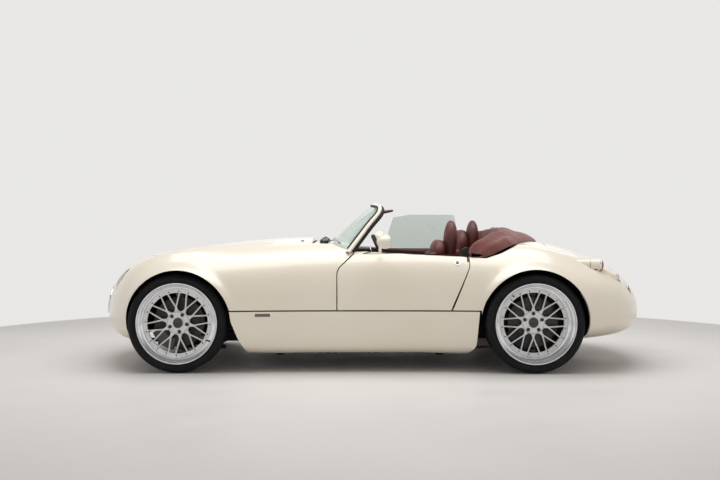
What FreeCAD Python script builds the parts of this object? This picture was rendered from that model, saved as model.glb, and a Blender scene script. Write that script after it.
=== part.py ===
"""Open two-seat roadster, rebuilt as separate pieces. Lengths in millimetres, +Z up, nose toward -X,
the car's left side toward -Y, origin on the ground under the middle of the car."""

import FreeCAD, Part

import Sketcher

import math
import os
import re

V = FreeCAD.Vector
doc = FreeCAD.newDocument("roadster")

# Driving dimensions, each a named cell
SIZES = [
    ("front_axle_x", -1280),
    ("rear_axle_x", 1046),
    ("axle_height", 322),
    ("wheel_plane_y", 725),
    ("tyre_radius", 322),
    ("flange_radius", 263),
    ("front_tyre_width", 224),
    ("rear_tyre_width", 276),
    ("front_rim_width", 210),
    ("rear_rim_width", 262),
    ("front_dish", 46),
    ("rear_dish", 98),
    ("front_rake", 24),
    ("rear_rake", 18),
    ("front_turn", 28.4),
    ("rear_turn", 0),
    ("spoke_reach", 203),
    ("blade_thickness", 14),
    ("hub_radius", 78),
    ("cap_radius", 34.5),
    ("pocket_radius", 12.5),
    ("hub_pin_end", -8),
    ("disc_radius", 165),
    ("disc_thickness", 24),
    ("spoke_count", 10),
    ("stud_count", 5),
    ("stud_circle", 116),
    ("front_arch_radius", 345),
    ("rear_arch_radius", 350),
    ("front_arch_x", -1272),
    ("rear_arch_x", 1045),
    ("arch_height", 324),
    ("flare_width", 64),
    ("skin_thickness", 24),
    ("liner_thickness", 4),
    ("split_height", 403),
    ("split_gap", 9),
    ("door_front_x", -239),
    ("door_rear_x", 622),
    ("door_inner_y", 665),
    ("panel_gap", 6),
    ("glass_thickness", 5),
    ("seat_width", 440),
    ("seat_middle_y", 345),
    ("passenger_seat_shift", 225),
    ("headrest_width", 240),
    ("cushion_rear", 330),
    ("steering_rim_radius", 185),
    ("steering_grip_radius", 15),
    ("steering_hub_radius", 42),
    ("column_angle", 25),
    ("column_pin_radius", 9),
    ("wheel_middle_x", 78),
    ("wheel_middle_y", -345),
    ("wheel_middle_z", 712),
    ("engine_front", -1060),
    ("engine_rear", -500),
    ("engine_half_width", 230),
    ("engine_bottom", 216),
    ("engine_top", 700),
    ("pipe_radius", 30),
    ("pipe_end", 1745),
    ("pipe_height", 262),
    ("silencer_half_width", 300),
    ("arm_thickness", 16),
    ("ball_height", 190),
    ("ball_pin_length", 23),
    ("headlamp_radius", 78),
    ("headlamp_y", 505),
    ("headlamp_z", 588),
    ("indicator_radius", 32.5),
    ("indicator_y", 420),
    ("indicator_z", 452),
    ("wiper_arm_radius", 4),
    ("lamp_inset", 5.3),
    ("hub_pin_radius", 22),
    ("ball_pin_radius", 10),
    ("blade_chamfer", 2.2),
    ("running_fit", 0.05),
]

sheet = doc.addObject("Spreadsheet::Sheet", "dimensions")
for row, (name, value) in enumerate(SIZES, start=1):
    sheet.set("A%d" % row, name)
    sheet.set("B%d" % row, str(value))
    sheet.setAlias("B%d" % row, name)
doc.recompute()


def size(name):
    return float(sheet.get(name))


# Body skin: station x, half width, top, waist height, underside, upper fullness, lower fullness
STATIONS = [
    (-1885, 60, 404, 362, 322, 2.0, 2.0),
    (-1872, 175, 455, 363, 268, 2.1, 2.1),
    (-1840, 315, 530, 366, 222, 2.2, 2.3),
    (-1770, 530, 632, 372, 185, 2.3, 2.6),
    (-1650, 745, 718, 385, 167, 2.5, 3.3),
    (-1480, 845, 766, 410, 155, 2.8, 3.9),
    (-1270, 868, 797, 440, 146, 3.0, 4.2),
    (-1000, 848, 832, 455, 110, 3.0, 5.6),
    (-700, 815, 858, 462, 96, 3.0, 7.0),
    (-400, 797, 868, 462, 95, 3.2, 7.0),
    (0, 792, 872, 462, 95, 3.4, 7.0),
    (400, 800, 872, 460, 95, 3.4, 7.0),
    (750, 830, 868, 452, 100, 3.1, 6.4),
    (1045, 870, 855, 440, 146, 2.8, 3.8),
    (1250, 872, 822, 425, 168, 2.6, 3.6),
    (1450, 842, 762, 408, 180, 2.5, 3.2),
    (1640, 742, 682, 392, 192, 2.4, 2.6),
    (1770, 540, 585, 380, 214, 2.3, 2.3),
    (1840, 325, 495, 374, 248, 2.2, 2.1),
    (1872, 180, 432, 371, 290, 2.1, 2.0),
    (1885, 62, 396, 370, 335, 2.0, 2.0),
]
END_X = 1885.0


def spline(knots, values):
    """Second derivatives of the natural cubic through the given values."""
    count = len(knots)
    lower = [0.0] * count
    second = [0.0] * count
    for i in range(1, count - 1):
        span = knots[i + 1] - knots[i - 1]
        ratio = (knots[i] - knots[i - 1]) / span
        pivot = ratio * second[i - 1] + 2.0
        second[i] = (ratio - 1.0) / pivot
        slope = (values[i + 1] - values[i]) / (knots[i + 1] - knots[i])
        slope -= (values[i] - values[i - 1]) / (knots[i] - knots[i - 1])
        lower[i] = (6.0 * slope / span - ratio * lower[i - 1]) / pivot
    for i in range(count - 2, -1, -1):
        second[i] = second[i] * second[i + 1] + lower[i]
    return second


def read_spline(knots, values, second, at):
    place = 0
    while place < len(knots) - 2 and at > knots[place + 1]:
        place += 1
    step = knots[place + 1] - knots[place]
    a = (knots[place + 1] - at) / step
    b = (at - knots[place]) / step
    bend = (a ** 3 - a) * second[place] + (b ** 3 - b) * second[place + 1]
    return a * values[place] + b * values[place + 1] + bend * step * step / 6.0


def turn(x):
    """Angle that runs from 0 at the nose to pi at the tail, so that blunt ends stay even."""
    return math.acos(max(-1.0, min(1.0, -x / END_X)))


TURNS = [turn(row[0]) for row in STATIONS]
COLUMNS = [[row[k] for row in STATIONS] for k in range(1, 7)]
BENDS = [spline(TURNS, column) for column in COLUMNS]


def section(x):
    at = turn(x)
    return [read_spline(TURNS, COLUMNS[k], BENDS[k], at) for k in range(6)]


def bump(value, centre, reach):
    t = (value - centre) / reach
    if abs(t) >= 1.0:
        return 0.0
    return (1.0 - t * t) ** 3


def lift(x, y):
    """Wing crests beside a shallow valley over the front wheels, haunches over the rear ones."""
    crest = 42 * bump(x, -1330, 560) * bump(y, 615, 210)
    valley = -16 * bump(x, -1250, 600) * bump(y, 400, 170)
    haunch = 26 * bump(x, 1080, 480) * bump(y, 640, 210)
    return crest + valley + haunch


def skin_point(x, angle):
    """Left half of the skin; angle 90 is the top middle, 0 the waist, -90 the underside middle."""
    half, top, waist, under, upper, lower = section(x)
    c = abs(math.cos(math.radians(angle)))
    s = abs(math.sin(math.radians(angle)))
    if angle >= 0:
        y = half * c ** (2.0 / upper)
        z = waist + (top - waist) * s ** (2.0 / upper) + lift(x, y) * min(1.0, s * 1.6)
    else:
        y = half * c ** (2.0 / lower)
        z = waist - (waist - under) * s ** (2.0 / lower)
    return y, z


def side_y(x, z):
    """Half width of the skin at a height."""
    half, top, waist, under, upper, lower = section(x)
    if z < waist:
        t = min(1.0, (waist - z) / (waist - under))
        return half * (1.0 - t ** lower) ** (1.0 / lower)
    low = 0.0
    high = 90.0
    for _ in range(30):
        angle = (low + high) / 2.0
        if skin_point(x, angle)[1] < z:
            low = angle
        else:
            high = angle
    return skin_point(x, low)[0]


def ring(x, inset, around):
    half, top, waist, under, upper, lower = section(x)
    deep = (top - under) / 2.0
    middle = (top + under) / 2.0
    points = []
    for j in range(around):
        angle = -90.0 + 360.0 * j / around
        side = -1.0
        if angle > 90.0:
            angle = 180.0 - angle
            side = 1.0
        y, z = skin_point(x, angle)
        y = side * y * (half - inset) / half
        z = middle + (z - middle) * (deep - inset) / deep
        points.append(V(x, y, z))
    curve = Part.BSplineCurve()
    curve.interpolate(points, PeriodicFlag=True, Parameters=[float(k) for k in range(around + 1)])
    return Part.Wire(curve.toShape())


def tube(x0, x1, inset, along=36, around=44):
    t0 = turn(x0)
    t1 = turn(x1)
    wires = []
    for i in range(along + 1):
        x = -END_X * math.cos(t0 + (t1 - t0) * i / along)
        wires.append(ring(x, inset, around))
    return Part.makeLoft(wires, True, False)


# Small shape helpers
def slab(x0, x1, y0, y1, z0, z1):
    return Part.makeBox(x1 - x0, y1 - y0, z1 - z0, V(x0, y0, z0))


def rounded(points, place):
    """Closed wire through corner points (a, b, radius); place turns (a, b) into a vector."""
    count = len(points)
    edges = []
    ends = []
    for i in range(count):
        a = FreeCAD.Vector(points[i - 1][0], points[i - 1][1], 0)
        b = FreeCAD.Vector(points[i][0], points[i][1], 0)
        c = FreeCAD.Vector(points[(i + 1) % count][0], points[(i + 1) % count][1], 0)
        radius = points[i][2] if len(points[i]) > 2 else 0
        if not radius:
            ends.append((b, None, b))
            continue
        before = (a - b).normalize()
        after = (c - b).normalize()
        half = before.getAngle(after) / 2.0
        reach = radius / math.tan(half)
        toward = (before + after).normalize()
        middle = b + toward * (radius / math.sin(half) - radius)
        ends.append((b + before * reach, middle, b + after * reach))
    for i in range(count):
        start, middle, finish = ends[i]
        if middle is not None:
            arc = Part.Arc(place(start.x, start.y), place(middle.x, middle.y), place(finish.x, finish.y))
            edges.append(arc.toShape())
        after = ends[(i + 1) % count][0]
        if (after - finish).Length > 0.001:
            edges.append(Part.makeLine(place(finish.x, finish.y), place(after.x, after.y)))
    return Part.Wire(edges)


def side_prism(points, y0, y1):
    """Outline in x and z, carried across from y0 to y1."""
    wire = rounded(points, lambda a, b: V(a, y0, b))
    return Part.Face(wire).extrude(V(0, y1 - y0, 0))


def plan_prism(points, z0, z1):
    """Outline in x and y, carried up from z0 to z1."""
    wire = rounded(points, lambda a, b: V(a, b, z0))
    return Part.Face(wire).extrude(V(0, 0, z1 - z0))


def face_prism(points, x0, x1):
    """Outline in y and z, carried along from x0 to x1."""
    wire = rounded(points, lambda a, b: V(x0, a, b))
    return Part.Face(wire).extrude(V(x1 - x0, 0, 0))


def rod(start, finish, radius):
    start = V(*start)
    way = V(*finish) - start
    return Part.makeCylinder(radius, way.Length, start, way)


def both_sides(shape):
    """The shape and its mirror image across the middle plane."""
    return [shape, shape.mirror(V(0, 0, 0), V(0, 1, 0))]


def mirrored(shape):
    return shape.mirror(V(0, 0, 0), V(0, 1, 0))


def join(shapes):
    return shapes[0].multiFuse(shapes[1:]).removeSplitter() if len(shapes) > 1 else shapes[0]


NODES = []


def held(name, shape):
    """A document object that carries a shape which no sketch or solid primitive describes."""
    piece = doc.addObject("Part::Feature", name)
    piece.Shape = shape
    return piece


def node(label, piece):
    """Marks a document object as one of the pieces handed in."""
    piece.Label = label
    doc.recompute()
    NODES.append(piece)
    return piece


def add_shape(label, shape):
    return node(label, held(label, shape))


# Document objects whose sizes follow the sheet; a formula is text with cell names and numbers
def linked(formula):
    return re.sub(r"\b([a-z][a-z_]+)\b(?!\()", r"dimensions.\1", formula)


def worth(formula):
    return float(sheet.evalExpression(linked(formula)))


def put(piece, x, y, z):
    """Binds an object's place to the sheet."""
    for axis, formula in (("x", x), ("y", y), ("z", z)):
        piece.setExpression("Placement.Base." + axis, linked(formula))


def box(name, x0, x1, y0, y1, z0, z1):
    piece = doc.addObject("Part::Box", name)
    for side, low, high in (("Length", x0, x1), ("Width", y0, y1), ("Height", z0, z1)):
        piece.setExpression(side, linked("(%s) - (%s)" % (high, low)))
    put(piece, x0, y0, z0)
    return piece


def cylinder(name, radius, length, at, axis, angle):
    """Cylinder standing on a point and turned by an angle about an axis."""
    piece = doc.addObject("Part::Cylinder", name)
    piece.setExpression("Radius", linked(radius))
    piece.setExpression("Height", linked(length))
    piece.Placement = FreeCAD.Placement(V(0, 0, 0), FreeCAD.Rotation(V(*axis), angle))
    put(piece, *at)
    return piece


def along_x(name, radius, x0, x1, y, z):
    return cylinder(name, radius, "(%s) - (%s)" % (x1, x0), (x0, y, z), (0, 1, 0), 90)


def along_y(name, radius, y0, y1, x, z):
    return cylinder(name, radius, "(%s) - (%s)" % (y1, y0), (x, y0, z), (1, 0, 0), -90)


def upright_pin(name, radius, z0, z1, x, y):
    return cylinder(name, radius, "(%s) - (%s)" % (z1, z0), (x, y, z0), (0, 0, 1), 0)


def fused(name, pieces):
    whole = doc.addObject("Part::MultiFuse", name)
    whole.Shapes = pieces
    whole.Refine = True
    return whole


def cut_by(name, base, tool):
    rest = doc.addObject("Part::Cut", name)
    rest.Base = base
    rest.Tool = tool
    return rest


def shared(name, base, tool):
    rest = doc.addObject("Part::Common", name)
    rest.Base = base
    rest.Tool = tool
    return rest


def twin(name, source):
    """The mirror image across the middle plane."""
    other = doc.addObject("Part::Mirroring", name)
    other.Source = source
    other.Base = (0, 0, 0)
    other.Normal = (0, 1, 0)
    return other


def together(name, pieces):
    group = doc.addObject("Part::Compound", name)
    group.Links = pieces
    return group


def origin_part(body, role):
    return [f for f in body.Origin.OriginFeatures if f.Role == role][0]


def sketch_on(body, name, role):
    sketch = body.newObject("Sketcher::SketchObject", name)
    sketch.AttachmentSupport = [(origin_part(body, role), "")]
    sketch.MapMode = "FlatFace"
    return sketch


def outline(sketch, corners):
    """Closed line through the corners, both coordinates of each one bound to the sheet."""
    points = [V(worth(a), worth(b), 0) for a, b in corners]
    count = len(points)
    lines = [Part.LineSegment(points[i], points[(i + 1) % count]) for i in range(count)]
    sketch.addGeometry(lines, False)
    links = [Sketcher.Constraint("Coincident", i, 2, (i + 1) % count, 1) for i in range(count)]
    sketch.addConstraint(links)
    for i, (across, along) in enumerate(corners):
        for kind, formula, at in (("DistanceX", across, points[i].x), ("DistanceY", along, points[i].y)):
            index = sketch.addConstraint(Sketcher.Constraint(kind, i, 1, at))
            sketch.setExpression("Constraints[%d]" % index, linked(formula))


def circle(sketch, along, radius):
    """Circle whose middle lies on the sketch's upright axis."""
    sketch.addGeometry(Part.Circle(V(0, worth(along), 0), V(0, 0, 1), worth(radius)), False)
    sketch.addConstraint(Sketcher.Constraint("PointOnObject", 0, 3, -2))
    index = sketch.addConstraint(Sketcher.Constraint("DistanceY", 0, 3, worth(along)))
    sketch.setExpression("Constraints[%d]" % index, linked(along))
    index = sketch.addConstraint(Sketcher.Constraint("Radius", 0, worth(radius)))
    sketch.setExpression("Constraints[%d]" % index, linked(radius))


def turned(body, name, corners, angle=360):
    """Adds a shape turned about the axle; its profile is given as radius and place along the axle."""
    sketch = sketch_on(body, name + "_profile", "XY_Plane")
    outline(sketch, corners)
    feature = body.newObject("PartDesign::Revolution", name)
    feature.Profile = sketch
    feature.ReferenceAxis = (sketch, ["V_Axis"])
    feature.Angle = angle
    body.Tip = feature
    return feature


def side_pad(body, name, corners, y0, y1):
    """Adds an outline in x and z, carried across from y0 to y1."""
    sketch = sketch_on(body, name + "_outline", "XZ_Plane")
    sketch.setExpression("AttachmentOffset.Base.z", linked("-(%s)" % y1))
    outline(sketch, corners)
    feature = body.newObject("PartDesign::Pad", name)
    feature.Profile = sketch
    feature.setExpression("Length", linked("(%s) - (%s)" % (y1, y0)))
    body.Tip = feature
    return feature


def front_pad(body, name, corners, x0, x1):
    """Adds an outline in y and z, carried along from x0 to x1."""
    sketch = sketch_on(body, name + "_outline", "YZ_Plane")
    sketch.setExpression("AttachmentOffset.Base.z", linked(x0))
    outline(sketch, corners)
    feature = body.newObject("PartDesign::Pad", name)
    feature.Profile = sketch
    feature.setExpression("Length", linked("(%s) - (%s)" % (x1, x0)))
    body.Tip = feature
    return feature


def round_off(body, feature, corners, radius):
    """Rounds the edges that a side outline's corners draw across the body."""
    doc.recompute()
    edges = []
    for k, edge in enumerate(feature.Shape.Edges, start=1):
        ends = [v.Point for v in edge.Vertexes]
        for x, z in corners:
            if all(math.hypot(end.x - worth(x), end.z - worth(z)) < 0.01 for end in ends):
                edges.append("Edge%d" % k)
    bend = body.newObject("PartDesign::Fillet", feature.Name + "_rounding")
    bend.Base = (feature, edges)
    bend.Radius = radius
    body.Tip = bend
    return bend


def around(body, name, features, count):
    """Repeats features about the axle."""
    ring = body.newObject("PartDesign::PolarPattern", name)
    ring.Originals = features
    ring.Axis = (origin_part(body, "Y_Axis"), [""])
    ring.Angle = 360
    ring.setExpression("Occurrences", linked(count))
    body.Tip = ring
    return ring


def at_wheel(piece, x):
    """Carries a left-hand shape from the origin to its axle."""
    put(piece, x, "-wheel_plane_y", "axle_height")
    return piece


T = size("skin_thickness")
GAP = size("panel_gap")
SPLIT = size("split_height")
HALF_SPLIT = size("split_gap") / 2.0
DOOR_FRONT = size("door_front_x")
DOOR_REAR = size("door_rear_x")
DOOR_INNER = size("door_inner_y")
ARCH_Z = size("arch_height")

outer = tube(-END_X, END_X, 0)
inner = tube(-END_X + T, END_X - T, T)
near_inner = tube(-END_X + T + 2, END_X - T - 2, T + 1.5)
skin = outer.cut(inner)
hollow = held("body_hollow", near_inner)


# Wheel-arch flares: a rolled lip that swells out of the skin round each opening
def flare(x_arch, radius, first, last, top_rise):
    wires = []
    width = size("flare_width")
    for k in range(17):
        phi = math.radians(first + (last - first) * k / 16)
        fade = min(1.0, k / 2.0, (16 - k) / 2.0)
        rise = (12 + top_rise * max(0.0, math.sin(phi)) ** 2) * fade - 7 * (1 - fade)
        outline = []
        feet = []
        for j in range(6):
            t = j / 5.0
            r = radius - 6 + (width + 6) * t
            x = x_arch + r * math.cos(phi)
            z = ARCH_Z + r * math.sin(phi)
            base = side_y(x, z)
            swell = (1 - t) ** 2 * (1 + 2 * t)
            outline.append(V(x, -(base + rise * swell - 5 * t * t), z))
            feet.append(V(x, 12 - base, z))
        curve = Part.BSplineCurve()
        curve.interpolate(outline)
        under = Part.BSplineCurve()
        under.interpolate(feet[::-1])
        edges = [curve.toShape()]
        edges.append(Part.makeLine(outline[-1], feet[-1]))
        edges.append(under.toShape())
        edges.append(Part.makeLine(feet[0], outline[0]))
        wires.append(Part.Wire(edges))
    return Part.makeLoft(wires, True, False)


def arch_hole(x_arch, radius):
    hole = Part.makeCylinder(radius, 480, V(x_arch, -930, ARCH_Z), V(0, 1, 0))
    return hole.fuse(mirrored(hole))


front_flare = flare(size("front_arch_x"), size("front_arch_radius"), 4, 192, 52)
rear_flare = flare(size("rear_arch_x"), size("rear_arch_radius"), -8, 166, 46)
front_hole = arch_hole(size("front_arch_x"), size("front_arch_radius"))
rear_hole = arch_hole(size("rear_arch_x"), size("rear_arch_radius"))

# Everything above this line, from cowl to rear deck, is open
BELT = [
    (-414, 834),
    (-284, 830),
    (-190, 797),
    (-120, 788),
    (650, 746),
    (740, 742),
    (841, 772),
    (911, 802),
    (981, 831),
    (1080, 851),
    (1130, 875),
]
above_belt = side_prism([(-414, 1300)] + BELT + [(1130, 1300)], -1000, 1000)


def door_outline(grow):
    g = grow
    return [
        (DOOR_FRONT - g, SPLIT + HALF_SPLIT - (20 if g else 0)),
        (DOOR_FRONT - g, 668 + g / 2.0, 80),
        (-130 - g, 768 + g, 20),
        (-130 - g, 1000),
        (DOOR_REAR + g, 1000),
        (DOOR_REAR + g, 688, 60),
        (500 + g, SPLIT + HALF_SPLIT - (20 if g else 0)),
    ]


door_space = side_prism(door_outline(GAP), -1000, -560)
door_space = door_space.fuse(mirrored(door_space))

sill_zone = side_prism(
    [
        (-937, SPLIT + HALF_SPLIT),
        (-927, 335),
        (-885, 230),
        (-792, 60),
        (560, 60),
        (665, 165),
        (686, SPLIT + HALF_SPLIT),
    ],
    -1000,
    1000,
)

# Bonnet and boot lid outlines in plan
BONNET_FRONT = -1560
BOOT_FRONT = 1190
ROLL_R = 8


def bonnet_plan(grow):
    g = grow
    return [
        (BONNET_FRONT - g, -300 - g, 90),
        (BONNET_FRONT - g, 300 + g, 90),
        (-420 + g, 500 + g, 30),
        (-420 + g, -500 - g, 30),
    ]


def boot_plan(grow):
    g = grow
    return [
        (BOOT_FRONT - g, -430 - g, 70),
        (BOOT_FRONT - g, 430 + g, 70),
        (1660 + g, 400 + g, 90),
        (1660 + g, -400 - g, 90),
    ]


bonnet_space = plan_prism(bonnet_plan(GAP), 520, 1200)
boot_space = plan_prism(boot_plan(GAP), 560, 1200)

# Grille mouth and lamps
GRILLE_Z = 432
GRILLE_Y = 285
GRILLE_H = 112


def oval(y_half, z_half, y_mid, z_mid, x0, x1):
    ellipse = Part.Ellipse(V(0, 0, 0), y_half, z_half)
    wire = Part.Wire(ellipse.toShape())
    face = Part.Face(wire)
    face.rotate(V(0, 0, 0), V(0, 0, 1), 90)
    face.rotate(V(0, 0, 0), V(0, 1, 0), 90)
    face.translate(V(x0, y_mid, z_mid))
    return face.extrude(V(x1 - x0, 0, 0))


mouth = oval(GRILLE_Y, GRILLE_H, 0, GRILLE_Z, -2000, -1700)
HEAD_Y = size("headlamp_y")
HEAD_Z = size("headlamp_z")
HEAD_R = size("headlamp_radius")
lamp_bore = rod((-1980, -HEAD_Y, HEAD_Z), (-1500, -HEAD_Y, HEAD_Z), HEAD_R)
turn_bore = rod((-1980, -420, 452), (-1700, -420, 452), 34)

# Front body: wings, nose and cowl
front = skin.common(slab(-1950, DOOR_FRONT + 120, -1000, 1000, 0, 1000))
front = front.fuse(front_flare).fuse(mirrored(front_flare))
jamb = outer.common(slab(DOOR_FRONT - 50, DOOR_FRONT - 2, -1000, -620, SPLIT + HALF_SPLIT, 900))
cowl = outer.common(
    side_prism(
        [(-414, 834), (-284, 830), (-190, 797), (-150, 791), (-150, 766), (-200, 772), (-290, 805), (-414, 809)],
        -720,
        720,
    )
)
front = front.multiFuse([jamb, mirrored(jamb), cowl])
front = front.cut(above_belt)
front = front.cut(door_space)
front = front.cut(front_hole)
front = front.cut(sill_zone)
front = front.cut(bonnet_space)
front = front.cut(slab(-1640, 0, -425, 425, 0, 320))
front = front.cut(slab(-1010, 0, -1000, 1000, 0, SPLIT + HALF_SPLIT))
front = front.cut(mouth)
for bore in (lamp_bore, mirrored(lamp_bore), turn_bore, mirrored(turn_bore)):
    front = front.cut(bore)
add_shape("front_body", front)

# Bonnet, hinged at its front edge
def rolled_edge(panel, x_edge, reach):
    """Rounds a lid's front edge about the line that it swings on, flush with the skin."""
    x = x_edge + ROLL_R
    z = skin_point(x, 90)[1] - ROLL_R
    front = slab(x_edge - 5, x, -reach, reach, 500, 1000)
    roll = rod((x, -reach, z), (x, reach, z), ROLL_R).common(outer)
    return panel.cut(front).fuse(roll)


bonnet = skin.common(plan_prism(bonnet_plan(0), 520, 1200)).cut(above_belt)
bonnet = rolled_edge(bonnet, BONNET_FRONT, 205)
add_shape("bonnet", bonnet)

# Rear body: haunches, deck and tail
rear = skin.common(slab(480, 1950, -1000, 1000, 0, 1000))
rear = rear.fuse(rear_flare).fuse(mirrored(rear_flare))
post = outer.common(
    side_prism(
        [
            (500 + 2, SPLIT + HALF_SPLIT),
            (DOOR_REAR + 2, 688),
            (DOOR_REAR + 2, 800),
            (DOOR_REAR + 50, 800),
            (DOOR_REAR + 50, SPLIT + HALF_SPLIT),
        ],
        -1000,
        -620,
    )
)
rear = rear.multiFuse([post, mirrored(post)])
# lamp pods, three a side in a falling row
PODS = [(1500, 620, 694, 39), (1612, 592, 608, 37), (1694, 548, 520, 34)]
pods = []
for px, py, pz, pr in PODS:
    pods.append(rod((px - 60, -py, pz), (px + 14, -py, pz), pr))
for pod in list(pods):
    pods.append(mirrored(pod))
rear = rear.multiFuse(pods)
rear = rear.cut(above_belt)
rear = rear.cut(door_space)
rear = rear.cut(rear_hole)
rear = rear.cut(sill_zone)
rear = rear.cut(boot_space)
rear = rear.cut(slab(0, 1480, -480, 480, 0, 320))
rear = rear.cut(slab(0, 700, -1000, 1000, 0, SPLIT + HALF_SPLIT))
rear = rear.cut(inner.common(slab(1400, 1700, -700, 700, 300, 720)))
for px, py, pz, pr in PODS:
    seat = rod((px + 10, -py, pz), (px + 40, -py, pz), pr - 5)
    rear = rear.cut(seat)
    rear = rear.cut(mirrored(seat))
plate_recess = slab(1850, 1950, -262, 262, 330, 448)
rear = rear.cut(plate_recess)
pipe_notch = slab(1480, 1950, -440, -270, 100, 304)
rear = rear.cut(pipe_notch).cut(mirrored(pipe_notch))
rear = max(rear.Solids, key=lambda s: s.Volume)
add_shape("rear_body", rear)

# Boot lid, hinged at its front edge
boot = skin.common(plan_prism(boot_plan(0), 560, 1200)).cut(above_belt)
boot = rolled_edge(boot, BOOT_FRONT, 350)
add_shape("boot_lid", boot)

# Sills with their jacking pads, one solid a side
sill = outer.common(
    side_prism(
        [
            (-937, SPLIT - HALF_SPLIT),
            (-927, 335, 60),
            (-885, 230, 60),
            (-792, 50),
            (560, 50),
            (665, 165, 60),
            (686, SPLIT - HALF_SPLIT),
        ],
        -1000,
        -600,
    )
)
jack_pads = []
for x in (-620, 440):
    jack_pads.append(Part.makeCylinder(28, 40, V(x, -634, 99)))
sill = sill.multiFuse(jack_pads)
add_shape("sills", Part.makeCompound(both_sides(sill)))

# Doors, as thick as the whole door, with a slot for the glass and a front edge rolled round the hinge line
GLASS_LEAN = 9
ROLL_TOP = 604
HINGE_X = DOOR_FRONT + ROLL_R
HINGE_Y = -786
door = outer.common(side_prism(door_outline(0), -1000, -DOOR_INNER)).cut(above_belt)
step = side_prism([(488, 380), (610, 690), (610, 950), (760, 950), (760, 380)], -752, -600)
door = door.cut(step)
slot = side_prism([(-100, 670), (600, 670), (600, 900), (-100, 900)], -714, -697)
slot.rotate(V(0, -702, 740), V(1, 0, 0), -GLASS_LEAN)
slot.translate(V(0, -4, 0))
door = door.cut(slot)
corner_zone = slab(DOOR_FRONT - 5, HINGE_X, -1000, HINGE_Y, 380, ROLL_TOP)
roll = rod((HINGE_X, HINGE_Y, SPLIT + HALF_SPLIT), (HINGE_X, HINGE_Y, ROLL_TOP), ROLL_R)
door = door.cut(corner_zone).fuse(roll.common(outer))
add_shape("door_left", door)
add_shape("door_right", mirrored(door))

# Glass raised in the right door
glass = doc.addObject("PartDesign::Body", "door_glass")
corners = [
    ("80", "690"),
    ("130", "885"),
    ("172", "1018"),
    ("300", "1040"),
    ("655", "1040"),
    ("672", "940"),
    ("590", "780"),
    ("590", "690"),
]
pane = side_pad(glass, "door_pane", corners, "699", "699 + glass_thickness")
round_off(glass, pane, corners[2:5], 30)
glass.Placement = FreeCAD.Placement(V(0, 4, 0), FreeCAD.Rotation(V(1, 0, 0), GLASS_LEAN), V(0, 702, 740))
node("door_glass_right", glass)

# Mirrors
housing = Part.makeSphere(50)
stretch = FreeCAD.Matrix()
stretch.scale(V(1.05, 1.55, 0.92))
housing = housing.transformGeometry(stretch)
housing.translate(V(68, -872, 855))
housing = housing.cut(slab(100, 140, -1000, -760, 780, 930))
stalk = rod((40, -812, 838), (40, -722, 776), 10)
mirror = housing.fuse(stalk)
mirror = mirror.cut(door)
add_shape("mirror_left", mirror)
add_shape("mirror_right", mirrored(mirror))


# Windscreen frame: one hoop from cowl to cowl
def hoop_path():
    half = [
        (-172, -684, 778),
        (-100, -630, 872),
        (-30, -575, 968),
        (22, -531, 1045),
        (38, -496, 1090),
        (28, -436, 1118),
        (0, -300, 1138),
        (-20, -150, 1146),
        (-27, 0, 1148),
    ]
    return half + [(x, -y, z) for x, y, z in reversed(half[:-1])]


path = Part.BSplineCurve()
path.interpolate([V(*p) for p in hoop_path()])
wires = []
COUNT = 40
for k in range(COUNT + 1):
    at = path.FirstParameter + (path.LastParameter - path.FirstParameter) * k / COUNT
    here = path.value(at)
    along = path.tangent(at)[0]
    face_way = V(-0.80, 0.35 * here.y / 500.0, 0.55)
    wide = along.cross(face_way).normalize()
    thick = wide.cross(along).normalize()
    slim = min(1.0, abs(here.z - 1148) / 300.0)
    ring_points = []
    for j in range(12):
        angle = math.radians(30.0 * j)
        reach = wide * ((12 + 9 * slim) * math.cos(angle))
        ring_points.append(here + reach + thick * (11 * math.sin(angle)))
    curve = Part.BSplineCurve()
    curve.interpolate(ring_points, PeriodicFlag=True)
    wires.append(Part.Wire(curve.toShape()))
hoop = Part.makeLoft(wires, True, False)
hoop = hoop.cut(outer)
add_shape("windscreen_frame", hoop)

# Windscreen glass: bowed in plan, leaning back
wires = []
for k in range(13):
    s = -1.0 + k / 6.0
    low = V(-284 + 118 * s * s, 650 * s, 838 - 38 * s * s)
    high = V(-24 + 60 * s * s, 490 * s, 1143 - 40 * abs(s) ** 3)
    way = (high - low).normalize()
    out = V(-0.80, 0.3 * s, 0.58).normalize() * size("glass_thickness")
    wires.append(Part.makePolygon([low, high, high + out, low + out, low]))
glass = Part.makeLoft(wires, True, False)
glass = glass.cut(hoop).cut(outer)
add_shape("windscreen_glass", max(glass.Solids, key=lambda s: s.Volume))

# Floor tub: floor, tunnel, firewall, rear wall, boot floor
tub = [
    slab(-460, 690, -598, 598, 128, 142),
    slab(690, 846, -540, 540, 128, 142),
    slab(-460, 846, -118, 118, 142, 345),
    slab(-460, -440, -598, 598, 142, 760),
    slab(830, 846, -540, 540, 128, 700),
    slab(846, 1620, -500, 500, 470, 484),
]
for side in (-1, 1):
    tub.append(slab(-1149, -450, min(side * 250, side * 310), max(side * 250, side * 310), 150, 215))
for side in (-1, 1):
    tub.append(slab(-440, 660, min(side * 598, side * 584), max(side * 598, side * 584), 142, 398))
tub_shape = join(tub)
tub_shape = tub_shape.common(near_inner.fuse(slab(-1200, 700, -600, 600, 60, 400)))
add_shape("floor_tub", tub_shape)

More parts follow.
